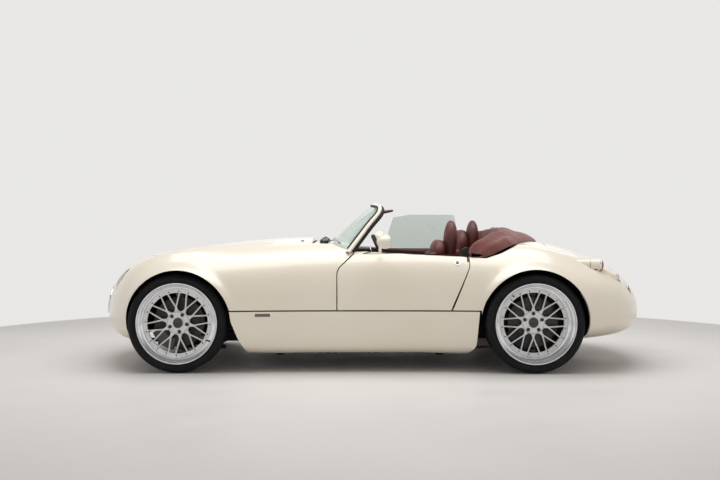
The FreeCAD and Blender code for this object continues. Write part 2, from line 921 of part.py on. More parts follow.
# Wheelhouse liners: drums open to the road, with an inner wall above the axle
liners = []
for x_arch, radius, wall_y in (
    (size("front_arch_x"), size("front_arch_radius"), 432),
    (size("rear_arch_x"), size("rear_arch_radius"), 548),
):
    thick = size("liner_thickness")
    drum = Part.makeCylinder(radius + 20 + thick, 400, V(x_arch, -wall_y - 400, ARCH_Z), V(0, 1, 0))
    space = Part.makeCylinder(radius + 20, 420, V(x_arch, -wall_y - 424, ARCH_Z), V(0, 1, 0))
    drum = drum.cut(space)
    drum = drum.cut(slab(x_arch - 500, x_arch + 500, -1000, 0, -100, 250))
    drum = drum.cut(slab(x_arch - 240, x_arch + 240, -wall_y - 6, 0, -100, 560))
    drum = drum.common(near_inner)
    solids = [s for s in drum.Solids if s.Volume > 1000]
    liners.append(Part.makeCompound(solids))
liner_set = []
for liner in liners:
    for one in liner.Solids:
        one = one.cut(tub_shape).cut(sill).cut(mirrored(sill))
        for part in one.Solids:
            if part.Volume > 20000:
                liner_set.append(part)
                liner_set.append(mirrored(part))
add_shape("wheelhouse_liners", Part.makeCompound(liner_set))

# Dashboard with the steering column
dash = doc.addObject("PartDesign::Body", "dash_top")
corners = [
    ("-300", "640"),
    ("-300", "748"),
    ("-160", "762"),
    ("-20", "745"),
    ("0", "690"),
    ("-40", "600"),
    ("-240", "600"),
]
shelf = side_pad(dash, "dash_shelf", corners, "-590", "590")
round_off(dash, shelf, corners[3:6], 16)
cluster = doc.addObject("PartDesign::Body", "instrument_hood")
corners = [("-150", "740"), ("-130", "800"), ("-20", "796"), ("-6", "735")]
hood = side_pad(cluster, "hood_block", corners, "-470", "-230")
round_off(cluster, hood, corners[1:3], 18)
foot = (
    "wheel_middle_x - 260 * cos(column_angle)",
    "wheel_middle_y",
    "wheel_middle_z - 260 * sin(column_angle)",
)
column = cylinder("steering_column", "26", "248", foot, (0, 1, 0), 90 - size("column_angle"))
pin = cylinder("column_pin", "column_pin_radius", "274", foot, (0, 1, 0), 90 - size("column_angle"))
node("dashboard", shared("dashboard", fused("dash_solid", [dash, cluster, column, pin]), hollow))

# Steering wheel
grip = doc.addObject("Part::Torus", "steering_grip")
grip.setExpression("Radius1", linked("steering_rim_radius"))
grip.setExpression("Radius2", linked("steering_grip_radius"))
parts = [grip, upright_pin("steering_hub", "steering_hub_radius", "-8", "22", "0", "0")]
for k, angle in enumerate((90, 210, 330)):
    arm = doc.addObject("Part::Box", "steering_spoke_%d" % k)
    arm.setExpression("Length", linked("steering_rim_radius - 10"))
    arm.Width = 30
    arm.Height = 8
    way = FreeCAD.Rotation(V(0, 0, 1), angle)
    arm.Placement = FreeCAD.Placement(way.multVec(V(10, -15, -6)), way)
    parts.append(arm)
wheel = fused("steering_solid", parts)
pin_hole = upright_pin("steering_pin_hole", "column_pin_radius + running_fit", "-14", "16", "0", "0")
wheel = cut_by("steering_wheel", wheel, pin_hole)
wheel.Placement = FreeCAD.Placement(V(0, 0, 0), FreeCAD.Rotation(V(0, 1, 0), 65))
wheel.setExpression("Placement.Rotation.Angle", linked("90 - column_angle"))
put(wheel, "wheel_middle_x", "wheel_middle_y", "wheel_middle_z")
node("steering_wheel", wheel)


# Seats: cushion on two rails, leaning back that narrows upward, and a headrest
def seat(name, middle, shift):
    low = "%s - seat_width / 2" % middle
    high = "%s + seat_width / 2" % middle
    cushion = doc.addObject("PartDesign::Body", name + "_cushion")
    corners = [("-110", "200"), ("-110", "330"), ("cushion_rear - 30", "290"), ("cushion_rear", "180")]
    pad = side_pad(cushion, name + "_cushion_block", corners, low, high)
    round_off(cushion, pad, corners[1:3], 36)
    back = doc.addObject("PartDesign::Body", name + "_back")
    corners = [
        ("240", "190"),
        ("250", "320"),
        ("405", "800"),
        ("440", "858"),
        ("515", "850"),
        ("535", "780"),
        ("400", "190"),
    ]
    pad = side_pad(back, name + "_back_block", corners, low, high)
    round_off(back, pad, corners[3:5], 24)
    taper = doc.addObject("PartDesign::Body", name + "_taper")
    corners = [
        (low, "150"),
        (low, "560"),
        ("%s - 150" % middle, "770"),
        ("%s - 128" % middle, "900"),
        ("%s + 128" % middle, "900"),
        ("%s + 150" % middle, "770"),
        (high, "560"),
        (high, "150"),
    ]
    front_pad(taper, name + "_taper_block", corners, "200", "600")
    rest = doc.addObject("PartDesign::Body", name + "_headrest")
    corners = [("470", "780"), ("494", "992"), ("580", "992"), ("560", "840"), ("530", "780")]
    sides = ("%s - headrest_width / 2" % middle, "%s + headrest_width / 2" % middle)
    pad = side_pad(rest, name + "_headrest_block", corners, *sides)
    round_off(rest, pad, corners[1:3], 30)
    parts = [cushion, shared(name + "_backrest", back, taper), rest]
    for k, y in enumerate(("%s - 150" % middle, "%s + 150" % middle)):
        parts.append(box("%s_rail_%d" % (name, k), "-60", "cushion_rear + 50", y + " - 16", y + " + 16", "142", "215"))
    whole = fused(name, parts)
    whole.setExpression("Placement.Base.x", linked(shift))
    return node(name, whole)


seat("seat_left", "-seat_middle_y", "0")
seat("seat_right", "seat_middle_y", "passenger_seat_shift")

# Folded soft top under its cover
COVER = [
    (-722, 650, 752, 672, 758, 740, 752),
    (-690, 652, 760, 685, 772, 850, 788),
    (-640, 655, 772, 700, 794, 975, 838),
    (-560, 690, 806, 765, 848, 1060, 858),
    (-480, 850, 840, 870, 905, 1090, 862),
    (-300, 890, 850, 915, 932, 1115, 866),
    (0, 905, 850, 935, 940, 1122, 868),
]
wires = []
stations = COVER + [(-r[0],) + r[1:] for r in reversed(COVER[:-1])]
for y, x_front, z_front, x_peak, z_peak, x_back, z_back in stations:
    z_low = 770 if abs(y) < 500 else 738
    station_line = [V(x_front, y, z_low), V(x_front, y, z_front), V(x_peak, y, z_peak)]
    station_line += [V((x_peak + x_back) / 2, y, (z_peak + z_back) / 2 + 6), V(x_back, y, z_back)]
    station_line += [V(x_back - 20, y, z_low), V(x_front, y, z_low)]
    wires.append(Part.makePolygon(station_line))
cover = Part.makeLoft(wires, True, False)
side_edge = [(640, 727), (760, 727), (860, 712), (960, 676), (1060, 610), (1140, 470)]
cover_plan = plan_prism(side_edge + [(x, -y) for x, y in reversed(side_edge)], 700, 1000)
cover = cover.common(cover_plan).cut(rear).cut(boot)
cover = max(cover.Solids, key=lambda s: s.Volume)
add_shape("soft_top_cover", cover)

# Brackets of the folded roof frame
bracket = doc.addObject("PartDesign::Body", "roof_bracket")
side_pad(bracket, "bracket_blade", [("575", "640"), ("575", "692"), ("580", "692"), ("590", "800"), ("640", "800"), ("640", "640")], "-604", "-578")
side_pad(bracket, "bracket_foot", [("575", "640"), ("575", "692"), ("640", "692"), ("640", "640")], "-619", "-578")
node("roof_frame", together("roof_frame", [bracket, twin("roof_bracket_right", bracket)]))

# Grille: surround ring with upright bars
ring_out = oval(GRILLE_Y - 2, GRILLE_H - 2, 0, GRILLE_Z, -2000, -1700)
ring_in = oval(GRILLE_Y - 16, GRILLE_H - 16, 0, GRILLE_Z, -2000, -1700)
shell_zone = outer.cut(tube(-END_X + 40, END_X - 40, 40))
grille_ring = ring_out.cut(ring_in).common(shell_zone)
bar_zone = tube(-END_X + 12, END_X - 12, 12).cut(tube(-END_X + 30, END_X - 30, 30))
bars = []
for k in range(-10, 11):
    y = 25.0 * k
    bars.append(slab(-1900, -1700, y - 3, y + 3, GRILLE_Z - 120, GRILLE_Z + 120))
bars.append(slab(-1900, -1700, -300, 300, GRILLE_Z - 4, GRILLE_Z + 4))
grille_bars = join(bars).common(bar_zone).common(ring_out)
grille = grille_ring.fuse(grille_bars)
grille = max(grille.Solids, key=lambda s: s.Volume)
add_shape("grille", grille)

# Headlamps and front indicators behind faired lenses
lens_zone = outer.cut(tube(-END_X + 10, END_X - 10, 8))
lens = lens_zone.common(rod((-1980, -HEAD_Y, HEAD_Z), (-1500, -HEAD_Y, HEAD_Z), HEAD_R - 1.5))
lens = max(lens.Solids, key=lambda s: s.Volume)
add_shape("headlamps", Part.makeCompound(both_sides(lens)))
bowl = along_x("bowl_rod", "headlamp_radius - 5", "-1780", "-1615", "-headlamp_y", "headlamp_z")
bowl = shared("bowl_left", bowl, hollow)
node("headlamp_bowls", together("headlamp_bowls", [bowl, twin("bowl_right", bowl)]))
turn_rod = along_x("indicator_rod", "indicator_radius", "-1980", "-1700", "-indicator_y", "indicator_z")
turn_lens = shared("indicator_left", held("lens_zone", lens_zone), turn_rod)
node("front_indicators", together("front_indicators", [turn_lens, twin("indicator_right", turn_lens)]))

# Tail lamps: red outer pair, clear middle one
lamps = []
for k, (px, py, pz, pr) in enumerate(PODS):
    dome = doc.addObject("Part::Sphere", "lamp_dome_%d" % k)
    dome.Radius = 1.35 * pr
    dome.Placement.Base = V(px + 34 - 1.35 * pr, -py, pz)
    stem = along_x("lamp_rod_%d" % k, "%g - lamp_inset" % pr, "%g" % (px + 10), "%g" % (px + 60), "%g" % -py, "%g" % pz)
    lamp = shared("lamp_%d" % k, stem, dome)
    lamps.append([lamp, twin("lamp_right_%d" % k, lamp)])
node("tail_lamps_red", together("tail_lamps_red", lamps[0] + lamps[2]))
node("tail_lamps_clear", together("tail_lamps_clear", lamps[1]))

# Exhaust: cross box with four tips
parts = [
    box("silencer", "1500", "1640", "-silencer_half_width", "silencer_half_width", "215", "300"),
    box("branch", "1500", "1560", "-400", "400", "234", "290"),
]
bores = []
for k, py in enumerate((-370, -300, 300, 370)):
    parts.append(along_x("pipe_%d" % k, "pipe_radius", "1500", "pipe_end", "%d" % py, "pipe_height"))
    bores.append(along_x("bore_%d" % k, "pipe_radius - 4", "1560", "pipe_end + 20", "%d" % py, "pipe_height"))
pipes = cut_by("exhaust_pipes", fused("exhaust_solid", parts), fused("exhaust_bores", bores))
node("exhaust", cut_by("exhaust", pipes, held("rear_shell", rear)))

# Engine as one block
block = box(
    "engine_block",
    "engine_front",
    "engine_rear",
    "-engine_half_width",
    "engine_half_width",
    "engine_bottom",
    "engine_top",
)
node("engine_block", block)


# Wheels: rim with ten forked blades that rake inward to the hub, tyre, brake disc
def wheel_rim(name, end):
    body = doc.addObject("PartDesign::Body", name)
    lip = "-%s_rim_width / 2" % end
    back = "%s_rim_width / 2" % end
    ring = lip + " + %s_dish" % end
    hub = ring + " + %s_rake" % end
    barrel = [
        ("flange_radius", lip),
        ("flange_radius", lip + " + 9"),
        ("flange_radius - 13", lip + " + 12"),
        ("flange_radius - 13", ring + " - 4"),
        ("flange_radius - 33", ring + " + 16"),
        ("flange_radius - 33", back + " - 40"),
        ("flange_radius - 13", back + " - 24"),
        ("flange_radius - 13", back + " - 12"),
        ("flange_radius", back + " - 9"),
        ("flange_radius", back),
        ("flange_radius - 8", back),
        ("flange_radius - 21", back + " - 22"),
        ("flange_radius - 41", back + " - 44"),
        ("flange_radius - 41", ring + " + 14"),
        ("spoke_reach - 5", ring + " + 14"),
        ("spoke_reach - 5", ring),
        ("flange_radius - 41", ring),
        ("flange_radius - 37", ring + " - 6"),
        ("flange_radius - 25", ring + " - 10"),
        ("flange_radius - 22", lip + " + 16"),
        ("flange_radius - 9", lip + " + 6"),
        ("flange_radius - 7", lip),
    ]
    turned(body, name + "_barrel", barrel)
    middle = [
        ("0", hub + " - 9"),
        ("cap_radius - 2", hub + " - 9"),
        ("cap_radius", hub + " - 7"),
        ("cap_radius", hub + " - 2"),
        ("hub_radius - 8", hub + " - 2"),
        ("hub_radius - 7", hub),
        ("hub_radius - 6", hub + " - 2"),
        ("hub_radius - 2", hub + " - 2"),
        ("hub_radius", hub),
        ("hub_radius", hub + " + 12"),
        ("50", hub + " + 12"),
        ("50", "disc_thickness / 2 - 2"),
        ("hub_pin_radius + running_fit", "disc_thickness / 2 - 2"),
        ("hub_pin_radius + running_fit", "hub_pin_end - 2"),
        ("0", "hub_pin_end - 2"),
    ]
    turned(body, name + "_hub", middle)
    sketch = sketch_on(body, name + "_blade_outline", "XZ_Plane")
    sketch.AttachmentOffset = FreeCAD.Placement(V(0, 0, 0), FreeCAD.Rotation(V(1, 0, 0), 10))
    sketch.setExpression("AttachmentOffset.Base.y", linked("spoke_reach"))
    sketch.setExpression("AttachmentOffset.Base.z", linked("-(%s) - blade_chamfer" % ring))
    rake = "atan2(dimensions.%s_rake; dimensions.spoke_reach - dimensions.hub_radius)" % end
    sketch.setExpression("AttachmentOffset.Rotation.Angle", rake)
    fork = [
        ("-15", "60 - spoke_reach"),
        ("-14.5", "77 - spoke_reach"),
        ("-9", "90 - spoke_reach"),
        ("-7.3", "103 - spoke_reach"),
        ("-45.3", "-4"),
        ("-35.7", "-4"),
        ("0", "112 - spoke_reach"),
        ("35.7", "-4"),
        ("45.3", "-4"),
        ("7.3", "103 - spoke_reach"),
        ("9", "90 - spoke_reach"),
        ("14.5", "77 - spoke_reach"),
        ("15", "60 - spoke_reach"),
    ]
    outline(sketch, fork)
    blade = body.newObject("PartDesign::Pad", name + "_blade")
    blade.Profile = sketch
    blade.Reversed = True
    blade.setExpression("Length", linked("blade_thickness - blade_chamfer"))
    face = body.newObject("PartDesign::Pad", name + "_blade_face")
    face.Profile = sketch
    face.setExpression("Length", linked("blade_chamfer"))
    face.TaperAngle = -45
    body.Tip = face
    doc.recompute()
    around(body, name + "_blades", [blade, face], "spoke_count")
    sketch = sketch_on(body, name + "_pocket_outline", "XZ_Plane")
    sketch.setExpression("AttachmentOffset.Base.z", linked("-(%s) + 3" % hub))
    circle(sketch, "stud_circle / 2", "pocket_radius")
    pocket = body.newObject("PartDesign::Pocket", name + "_pocket")
    pocket.Profile = sketch
    pocket.Length = 12
    body.Tip = pocket
    doc.recompute()
    around(body, name + "_pockets", [pocket], "stud_count")
    body.Placement = FreeCAD.Placement(V(0, 0, 0), FreeCAD.Rotation(V(0, 1, 0), size(end + "_turn")))
    return at_wheel(body, end + "_axle_x")


def wheel_tyre(name, end):
    body = doc.addObject("PartDesign::Body", name)
    half = "%s_tyre_width / 2" % end
    seat = "%s_rim_width / 2 - 2" % end
    section_line = [
        ("flange_radius", "-(%s)" % seat),
        ("flange_radius + 26", "-(%s)" % half),
        ("tyre_radius - 14", "-(%s) + 6" % half),
        ("tyre_radius", "-(%s) + 26" % half),
        ("tyre_radius", half + " - 26"),
        ("tyre_radius - 14", half + " - 6"),
        ("flange_radius + 26", half),
        ("flange_radius", seat),
    ]
    turned(body, name + "_ring", section_line)
    return at_wheel(body, end + "_axle_x")


def wheel_disc(name, end):
    body = doc.addObject("PartDesign::Body", name)
    section_line = [
        ("50", "12"),
        ("disc_radius", "12"),
        ("disc_radius", "12 + disc_thickness"),
        ("hub_radius", "12 + disc_thickness"),
        ("hub_radius", "14 + disc_thickness"),
        ("50", "14 + disc_thickness"),
    ]
    turned(body, name + "_plate", section_line)
    return at_wheel(body, end + "_axle_x")


for end in ("front", "rear"):
    for kind, make in (("rim", wheel_rim), ("tyre", wheel_tyre), ("disc", wheel_disc)):
        left = node("%s_%s_left" % (kind, end), make("%s_%s_left" % (kind, end), end))
        node("%s_%s_right" % (kind, end), twin("%s_%s_right" % (kind, end), left))


# Knuckles with hub pin, calliper and steering pins
def knuckle(name, end):
    """Left-hand upright about the wheel's middle, then carried to its axle."""
    caliper = doc.addObject("PartDesign::Body", name + "_caliper")
    section_line = [
        ("112", "0"),
        ("disc_radius + 21", "0"),
        ("disc_radius + 21", "56"),
        ("112", "56"),
        ("112", "41"),
        ("disc_radius + 6", "41"),
        ("disc_radius + 6", "7"),
        ("112", "7"),
    ]
    turned(caliper, name + "_caliper_arc", section_line, 56)
    caliper.Placement = FreeCAD.Placement(V(0, 0, 0), FreeCAD.Rotation(V(0, 1, 0), 103))
    parts = [
        along_y(name + "_pin", "hub_pin_radius", "hub_pin_end", "90", "0", "0"),
        along_y(name + "_collar", "52", "50", "92", "0", "0"),
        box(name + "_post", "-24", "24", "62", "92", "-ball_height - 6", "ball_height + 6"),
        box(name + "_lug", "-150", "0", "62", "80", "-160", "-60"),
        box(name + "_top", "-17", "17", "-10", "92", "ball_height - 13", "ball_height + 5"),
        box(name + "_foot", "-17", "17", "-10", "92", "-ball_height - 5", "-ball_height + 13"),
        box(name + "_mount", "-140", "-60", "50", "80", "-150", "-60"),
        upright_pin(name + "_top_pin", "ball_pin_radius", "ball_height", "ball_height + ball_pin_length", "0", "0"),
        upright_pin(name + "_low_pin", "ball_pin_radius", "-ball_height - ball_pin_length", "-ball_height", "0", "0"),
        caliper,
    ]
    return at_wheel(fused(name, parts), end + "_axle_x")


left = node("knuckle_left", knuckle("knuckle_left", "front"))
node("knuckle_right", twin("knuckle_right", left))


def both_of(pieces):
    return pieces + [twin(piece.Name + "_right", piece) for piece in pieces]


# Front suspension: cross member, rack, and arms with ball-pin eyes
arms = []
holes = []
for level, z0 in (("top", "axle_height + ball_height + 7"), ("low", "axle_height - ball_height - 23")):
    end_z = z0 + " + arm_thickness"
    x0 = "front_axle_x - 15"
    x1 = "front_axle_x + 15"
    arms.append(box("front_arm_" + level, x0, x1, "-wheel_plane_y", "-340", z0, end_z))
    arms.append(upright_pin("front_eye_" + level, "17", z0, end_z, "front_axle_x", "-wheel_plane_y"))
    hole = (z0 + " - 20", end_z + " + 20", "front_axle_x", "-wheel_plane_y")
    holes.append(upright_pin("front_hole_" + level, "ball_pin_radius + running_fit", *hole))
tower_low = "axle_height - ball_height - 23"
tower_high = "axle_height + ball_height + 35"
arms.append(box("front_tower", "front_axle_x - 50", "front_axle_x + 50", "-375", "-330", tower_low, tower_high))
member = [
    box("front_member", "front_axle_x - 70", "front_axle_x + 70", "-360", "360", "130", "190"),
    along_y("steering_rack", "24", "-380", "380", "front_axle_x + 120", "250"),
    box("rack_seat", "front_axle_x - 60", "front_axle_x + 130", "-300", "300", "185", "228"),
]
front_solid = fused("front_suspension_solid", member + both_of(arms))
node("front_suspension", cut_by("front_suspension", front_solid, fused("ball_pin_holes", both_of(holes))))

# Rear suspension: cross member, final drive, shafts, hub carriers with callipers
links = [
    knuckle("rear_carrier", "rear"),
    along_y("drive_shaft", "20", "80 - wheel_plane_y", "-100", "rear_axle_x", "axle_height"),
    box("rear_tower", "rear_axle_x - 40", "rear_axle_x + 40", "-420", "-380", "150", "axle_height + 140"),
]
for level, z0 in (("top", "axle_height + 110"), ("low", "axle_height - 176")):
    x0 = "rear_axle_x - 18"
    x1 = "rear_axle_x + 18"
    links.append(box("rear_arm_" + level, x0, x1, "70 - wheel_plane_y", "-380", z0, z0 + " + arm_thickness"))
member = [
    box("rear_member", "rear_axle_x - 60", "rear_axle_x + 60", "-420", "420", "150", "205"),
    box("final_drive", "rear_axle_x - 130", "rear_axle_x + 120", "-130", "130", "200", "420"),
]
node("rear_suspension", fused("rear_suspension", member + both_of(links)))

# Wipers on the cowl
wipers = []
for k, y in enumerate((-330, 60)):
    pivot = upright_pin("wiper_pivot_%d" % k, "14", "834.5", "854.5", "-392", "%d" % y)
    arm = rod((-392, y, 850), (-292, y + 250, 858), size("wiper_arm_radius"))
    wipers.append(fused("wiper_%d" % k, [pivot, held("wiper_arm_%d" % k, arm)]))
node("wipers", together("wipers", wipers))

# Recompute, check and write one file a piece
doc.recompute()
for item in doc.Objects:
    state = [str(s) for s in item.State]
    if "Invalid" in state or "Error" in state:
        raise RuntimeError("%s is not valid: %s" % (item.Label, state))
os.makedirs("parts", exist_ok=True)
for piece in NODES:
    shape = piece.Shape
    if shape.isNull() or not shape.isValid():
        raise RuntimeError("%s has no valid shape" % piece.Label)
    shape.exportStep("parts/%s.step" % piece.Label)
    print(piece.Label, len(shape.Solids), round(shape.Volume / 1e6, 3))
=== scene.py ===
"""Dresses the roadster's solids: paint, leather, cloth, rubber, glass, wheels and small fittings.
Row frame in metres: +Z up, nose toward -X, the car's left side toward -Y."""
import math

import bmesh
import bpy
import numpy as np
from mathutils import Matrix, Vector
from mathutils.bvhtree import BVHTree


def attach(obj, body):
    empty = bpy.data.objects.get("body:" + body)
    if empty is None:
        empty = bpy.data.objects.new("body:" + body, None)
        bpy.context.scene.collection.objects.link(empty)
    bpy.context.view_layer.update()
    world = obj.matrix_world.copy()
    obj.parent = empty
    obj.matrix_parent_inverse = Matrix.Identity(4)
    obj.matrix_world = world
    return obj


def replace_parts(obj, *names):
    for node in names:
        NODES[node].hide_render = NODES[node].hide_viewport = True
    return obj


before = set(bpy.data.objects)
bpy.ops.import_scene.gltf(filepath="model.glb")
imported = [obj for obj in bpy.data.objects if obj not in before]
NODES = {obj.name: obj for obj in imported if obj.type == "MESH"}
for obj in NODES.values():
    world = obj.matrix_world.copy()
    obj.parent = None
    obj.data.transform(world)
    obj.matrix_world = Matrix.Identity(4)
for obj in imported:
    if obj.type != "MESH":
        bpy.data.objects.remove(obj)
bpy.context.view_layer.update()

SIDES = ((-1, "left"), (1, "right"))

# The body skin as the part's source has it, in millimetres, for smooth shading and for placing trim
# Columns: x, half width, top, waist, underside, squareness above and below the waist
STATIONS = [
    (-1885, 60, 404, 362, 322, 2.0, 2.0),
    (-1872, 175, 455, 363, 268, 2.1, 2.1),
    (-1840, 315, 530, 366, 222, 2.2, 2.3),
    (-1770, 530, 632, 372, 185, 2.3, 2.6),
    (-1650, 745, 718, 385, 167, 2.5, 3.3),
    (-1480, 845, 766, 410, 155, 2.8, 3.9),
    (-1270, 868, 797, 440, 146, 3.0, 4.2),
    (-1000, 848, 832, 455, 110, 3.0, 5.6),
    (-700, 815, 858, 462, 96, 3.0, 7.0),
    (-400, 797, 868, 462, 95, 3.2, 7.0),
    (0, 792, 872, 462, 95, 3.4, 7.0),
    (400, 800, 872, 460, 95, 3.4, 7.0),
    (750, 830, 868, 452, 100, 3.1, 6.4),
    (1045, 870, 855, 440, 146, 2.8, 3.8),
    (1250, 872, 822, 425, 168, 2.6, 3.6),
    (1450, 842, 762, 408, 180, 2.5, 3.2),
    (1640, 742, 682, 392, 192, 2.4, 2.6),
    (1770, 540, 585, 380, 214, 2.3, 2.3),
    (1840, 325, 495, 374, 248, 2.2, 2.1),
    (1872, 180, 432, 371, 290, 2.1, 2.0),
    (1885, 62, 396, 370, 335, 2.0, 2.0),
]
END_X = 1885.0
ARCH_Z = 324.0
FLARE_WIDTH = 64.0
# Wheel-arch flares: x, radius, first and last angle in degrees, rise at the top
FLARES = [(-1272.0, 345.0, 4.0, 192.0, 52.0), (1045.0, 350.0, -8.0, 166.0, 46.0)]

# Places on the car, in metres
AXLES = {"front": -1.280, "rear": 1.046}
WHEEL_Y = 0.725
AXLE_Z = 0.322
# Width of the tyre and of the rim, dish of the ring, rake of the spokes
WIDTHS = {"front": (0.224, 0.210, 0.046, 0.024), "rear": (0.276, 0.262, 0.098, 0.018)}
PIPE_Z = 0.262
DRIVER_Y, PASSENGER_Y = -0.345, 0.345
STEERING_MIDDLE = np.array((0.078, DRIVER_Y, 0.712))
STEERING_WAY = np.array((math.cos(math.radians(25)), 0.0, math.sin(math.radians(25))))
FLOOR_Z = 0.1425
DOWN = (0, 0, -1)
UP = (0, 0, 1)
# Radius left at the tip of a turned shape
TIP = 0.0002


def turn(x):
    return np.arccos(np.clip(-np.asarray(x, float) / END_X, -1.0, 1.0))


def natural_spline(knots, values):
    """Second derivatives of the natural cubic through the values."""
    n = len(knots)
    matrix = np.eye(n)
    right = np.zeros(n)
    for i in range(1, n - 1):
        before = knots[i] - knots[i - 1]
        after = knots[i + 1] - knots[i]
        matrix[i, i - 1:i + 2] = [before, 2 * (before + after), after]
        right[i] = 6 * ((values[i + 1] - values[i]) / after - (values[i] - values[i - 1]) / before)
    return np.linalg.solve(matrix, right)


def read_spline(knots, values, second, at):
    place = np.clip(np.searchsorted(knots, at) - 1, 0, len(knots) - 2)
    step = knots[place + 1] - knots[place]
    a = (knots[place + 1] - at) / step
    b = (at - knots[place]) / step
    bend = (a ** 3 - a) * second[place] + (b ** 3 - b) * second[place + 1]
    return a * values[place] + b * values[place + 1] + bend * step * step / 6.0


TURNS = turn([row[0] for row in STATIONS])
COLUMNS = [np.array([float(row[k]) for row in STATIONS]) for k in range(1, 7)]
BENDS = [natural_spline(TURNS, column) for column in COLUMNS]


def sections(x):
    at = turn(x)
    return [read_spline(TURNS, COLUMNS[k], BENDS[k], at) for k in range(6)]


def swell(value, centre, reach):
    t = np.clip((value - centre) / reach, -1.0, 1.0)
    return (1.0 - t * t) ** 3


def lift(x, y):
    crest = 42 * swell(x, -1330, 560) * swell(y, 615, 210)
    valley = -16 * swell(x, -1250, 600) * swell(y, 400, 170)
    haunch = 26 * swell(x, 1080, 480) * swell(y, 640, 210)
    return crest + valley + haunch


def skin_field(x, y, z):
    """Zero on the skin, negative inside."""
    half, top, waist, under, upper, lower = sections(x)
    a = np.abs(y)
    rise = lift(x, a)
    lowered = z + 0.0
    for _ in range(5):
        share = np.clip((lowered - waist) / (top - waist), 0.0, 1.3)
        lowered = z - rise * np.minimum(1.0, share ** (upper / 2) * 1.6)
    share = np.maximum((lowered - waist) / (top - waist), 0.0)
    over = (a / half) ** upper + share ** upper
    share = np.maximum((waist - z) / (waist - under), 0.0)
    below = (a / half) ** lower + share ** lower
    return np.where(z >= waist, over, below) - 1.0


def halved(low, high, steps, inside):
    """The last place inside, found by halving the way from low to high."""
    for _ in range(steps):
        middle = (low + high) / 2
        within = inside(middle)
        low = np.where(within, middle, low)
        high = np.where(within, high, middle)
    return low


def side_y(x, z):
    """Half width of the skin at a height."""
    half = sections(x)[0]
    return halved(np.zeros_like(half), half, 22, lambda y: skin_field(x, y, z) < 0)


def skin_top(x, y):
    """Height of the skin over a place."""
    low, high = np.full_like(x, 470.0), np.full_like(x, 1000.0)
    return halved(low, high, 24, lambda z: skin_field(x, y, z) < 0)


def past_arch(x, z, flare):
    """0 just inside the edge of a wheel arch, 1 where its flare ends."""
    return (np.hypot(x - flare[0], z - ARCH_Z) - flare[1] + 6) / (FLARE_WIDTH + 6)


def arch_side(x, z, flare):
    """Half width with the rolled lip of a wheel arch on it."""
    x_arch, _, first, last, top_rise = flare
    phi = np.degrees(np.arctan2(z - ARCH_Z, x - x_arch))
    phi = np.where(phi < -60, phi + 360, phi)
    k = (phi - first) / (last - first) * 16
    fade = np.clip(np.minimum(k, 16 - k) / 2, 0, 1)
    t = past_arch(x, z, flare)
    rise = (12 + top_rise * np.maximum(0, np.sin(np.radians(phi))) ** 2) * fade - 7 * (1 - fade)
    tt = np.clip(t, -0.2, 1.0)
    h = rise * (1 - tt) ** 2 * (1 + 2 * tt) - 5 * t * t
    return side_y(x, z) + 0.5 * (h + np.sqrt(h * h + 20.0))


def gradient(field, x, y, z):
    step = 1.5
    gx = field(x + step, y, z) - field(x - step, y, z)
    gy = field(x, y + step, z) - field(x, y - step, z)
    gz = field(x, y, z + step) - field(x, y, z - step)
    return np.stack([gx, gy, gz], 1) / (2 * step)


def unit(ways):
    return ways / np.linalg.norm(ways, axis=1)[:, None]


def squared(value, power):
    """Bends a sine or cosine towards a rounded rectangle."""
    return math.copysign(abs(value) ** power, value)


def circle(step):
    """Cosine and sine round a circle, a step in degrees at a time."""
    return [(math.cos(math.radians(a)), math.sin(math.radians(a))) for a in range(0, 360, step)]


def read(items, name, width=1, kind=float):
    """A property of all items of a mesh, as one array."""
    values = np.zeros(len(items) * width, kind)
    items.foreach_get(name, values)
    return values.reshape(-1, width) if width > 1 else values


def smooth_skin(node, closeness=2.5):
    """Gives the outer skin of a painted node the skin's own normals, so that light runs evenly over it."""
    mesh = NODES[node].data
    x, y, z = (read(mesh.vertices, "co", 3) * 1000).T
    way = gradient(skin_field, x, y, z)
    length = np.linalg.norm(way, axis=1) + 1e-12
    near = np.abs(skin_field(x, y, z)) / length < closeness
    normal = way / length[:, None]
    for flare in FLARES:
        t = past_arch(x, z, flare)
        zone = (t > -0.1) & (t < 1.5) & (z > 150) & (np.abs(y) > 500)
        pick = np.where(zone)[0]
        if not len(pick):
            continue
        px, py, pz = x[pick], np.abs(y[pick]), z[pick]
        side = arch_side(px, pz, flare)
        hit = np.abs(py - side) < 6.0
        step = 1.5
        dx = (arch_side(px + step, pz, flare) - arch_side(px - step, pz, flare)) / (2 * step)
        dz = (arch_side(px, pz + step, flare) - arch_side(px, pz - step, flare)) / (2 * step)
        rolled = unit(np.stack([-dx, np.sign(y[pick]), -dz], 1))
        normal[pick[hit]] = rolled[hit]
        near[pick[hit]] = True
    corner = read(mesh.corner_normals, "vector", 3)
    vert = read(mesh.loops, "vertex_index", kind=int)
    flat = np.repeat(read(mesh.polygons, "normal", 3), read(mesh.polygons, "loop_total", kind=int), axis=0)
    wanted = normal[vert]
    good = near[vert] & ((wanted * flat).sum(1) > 0.80)
    corner[good] = wanted[good]
    mesh.normals_split_custom_set([tuple(n) for n in corner])


# Colours and materials
def tone(red, green, blue):
    """A screen colour, 0 to 255, as linear light."""
    made = []
    for value in (red, green, blue):
        c = value / 255.0
        made.append(c / 12.92 if c <= 0.04045 else ((c + 0.055) / 1.055) ** 2.4)
    return (*made, 1.0)


def darker(colour, share):
    return tuple(c * share for c in colour[:3]) + (1.0,)


LENS_RIBS = 40


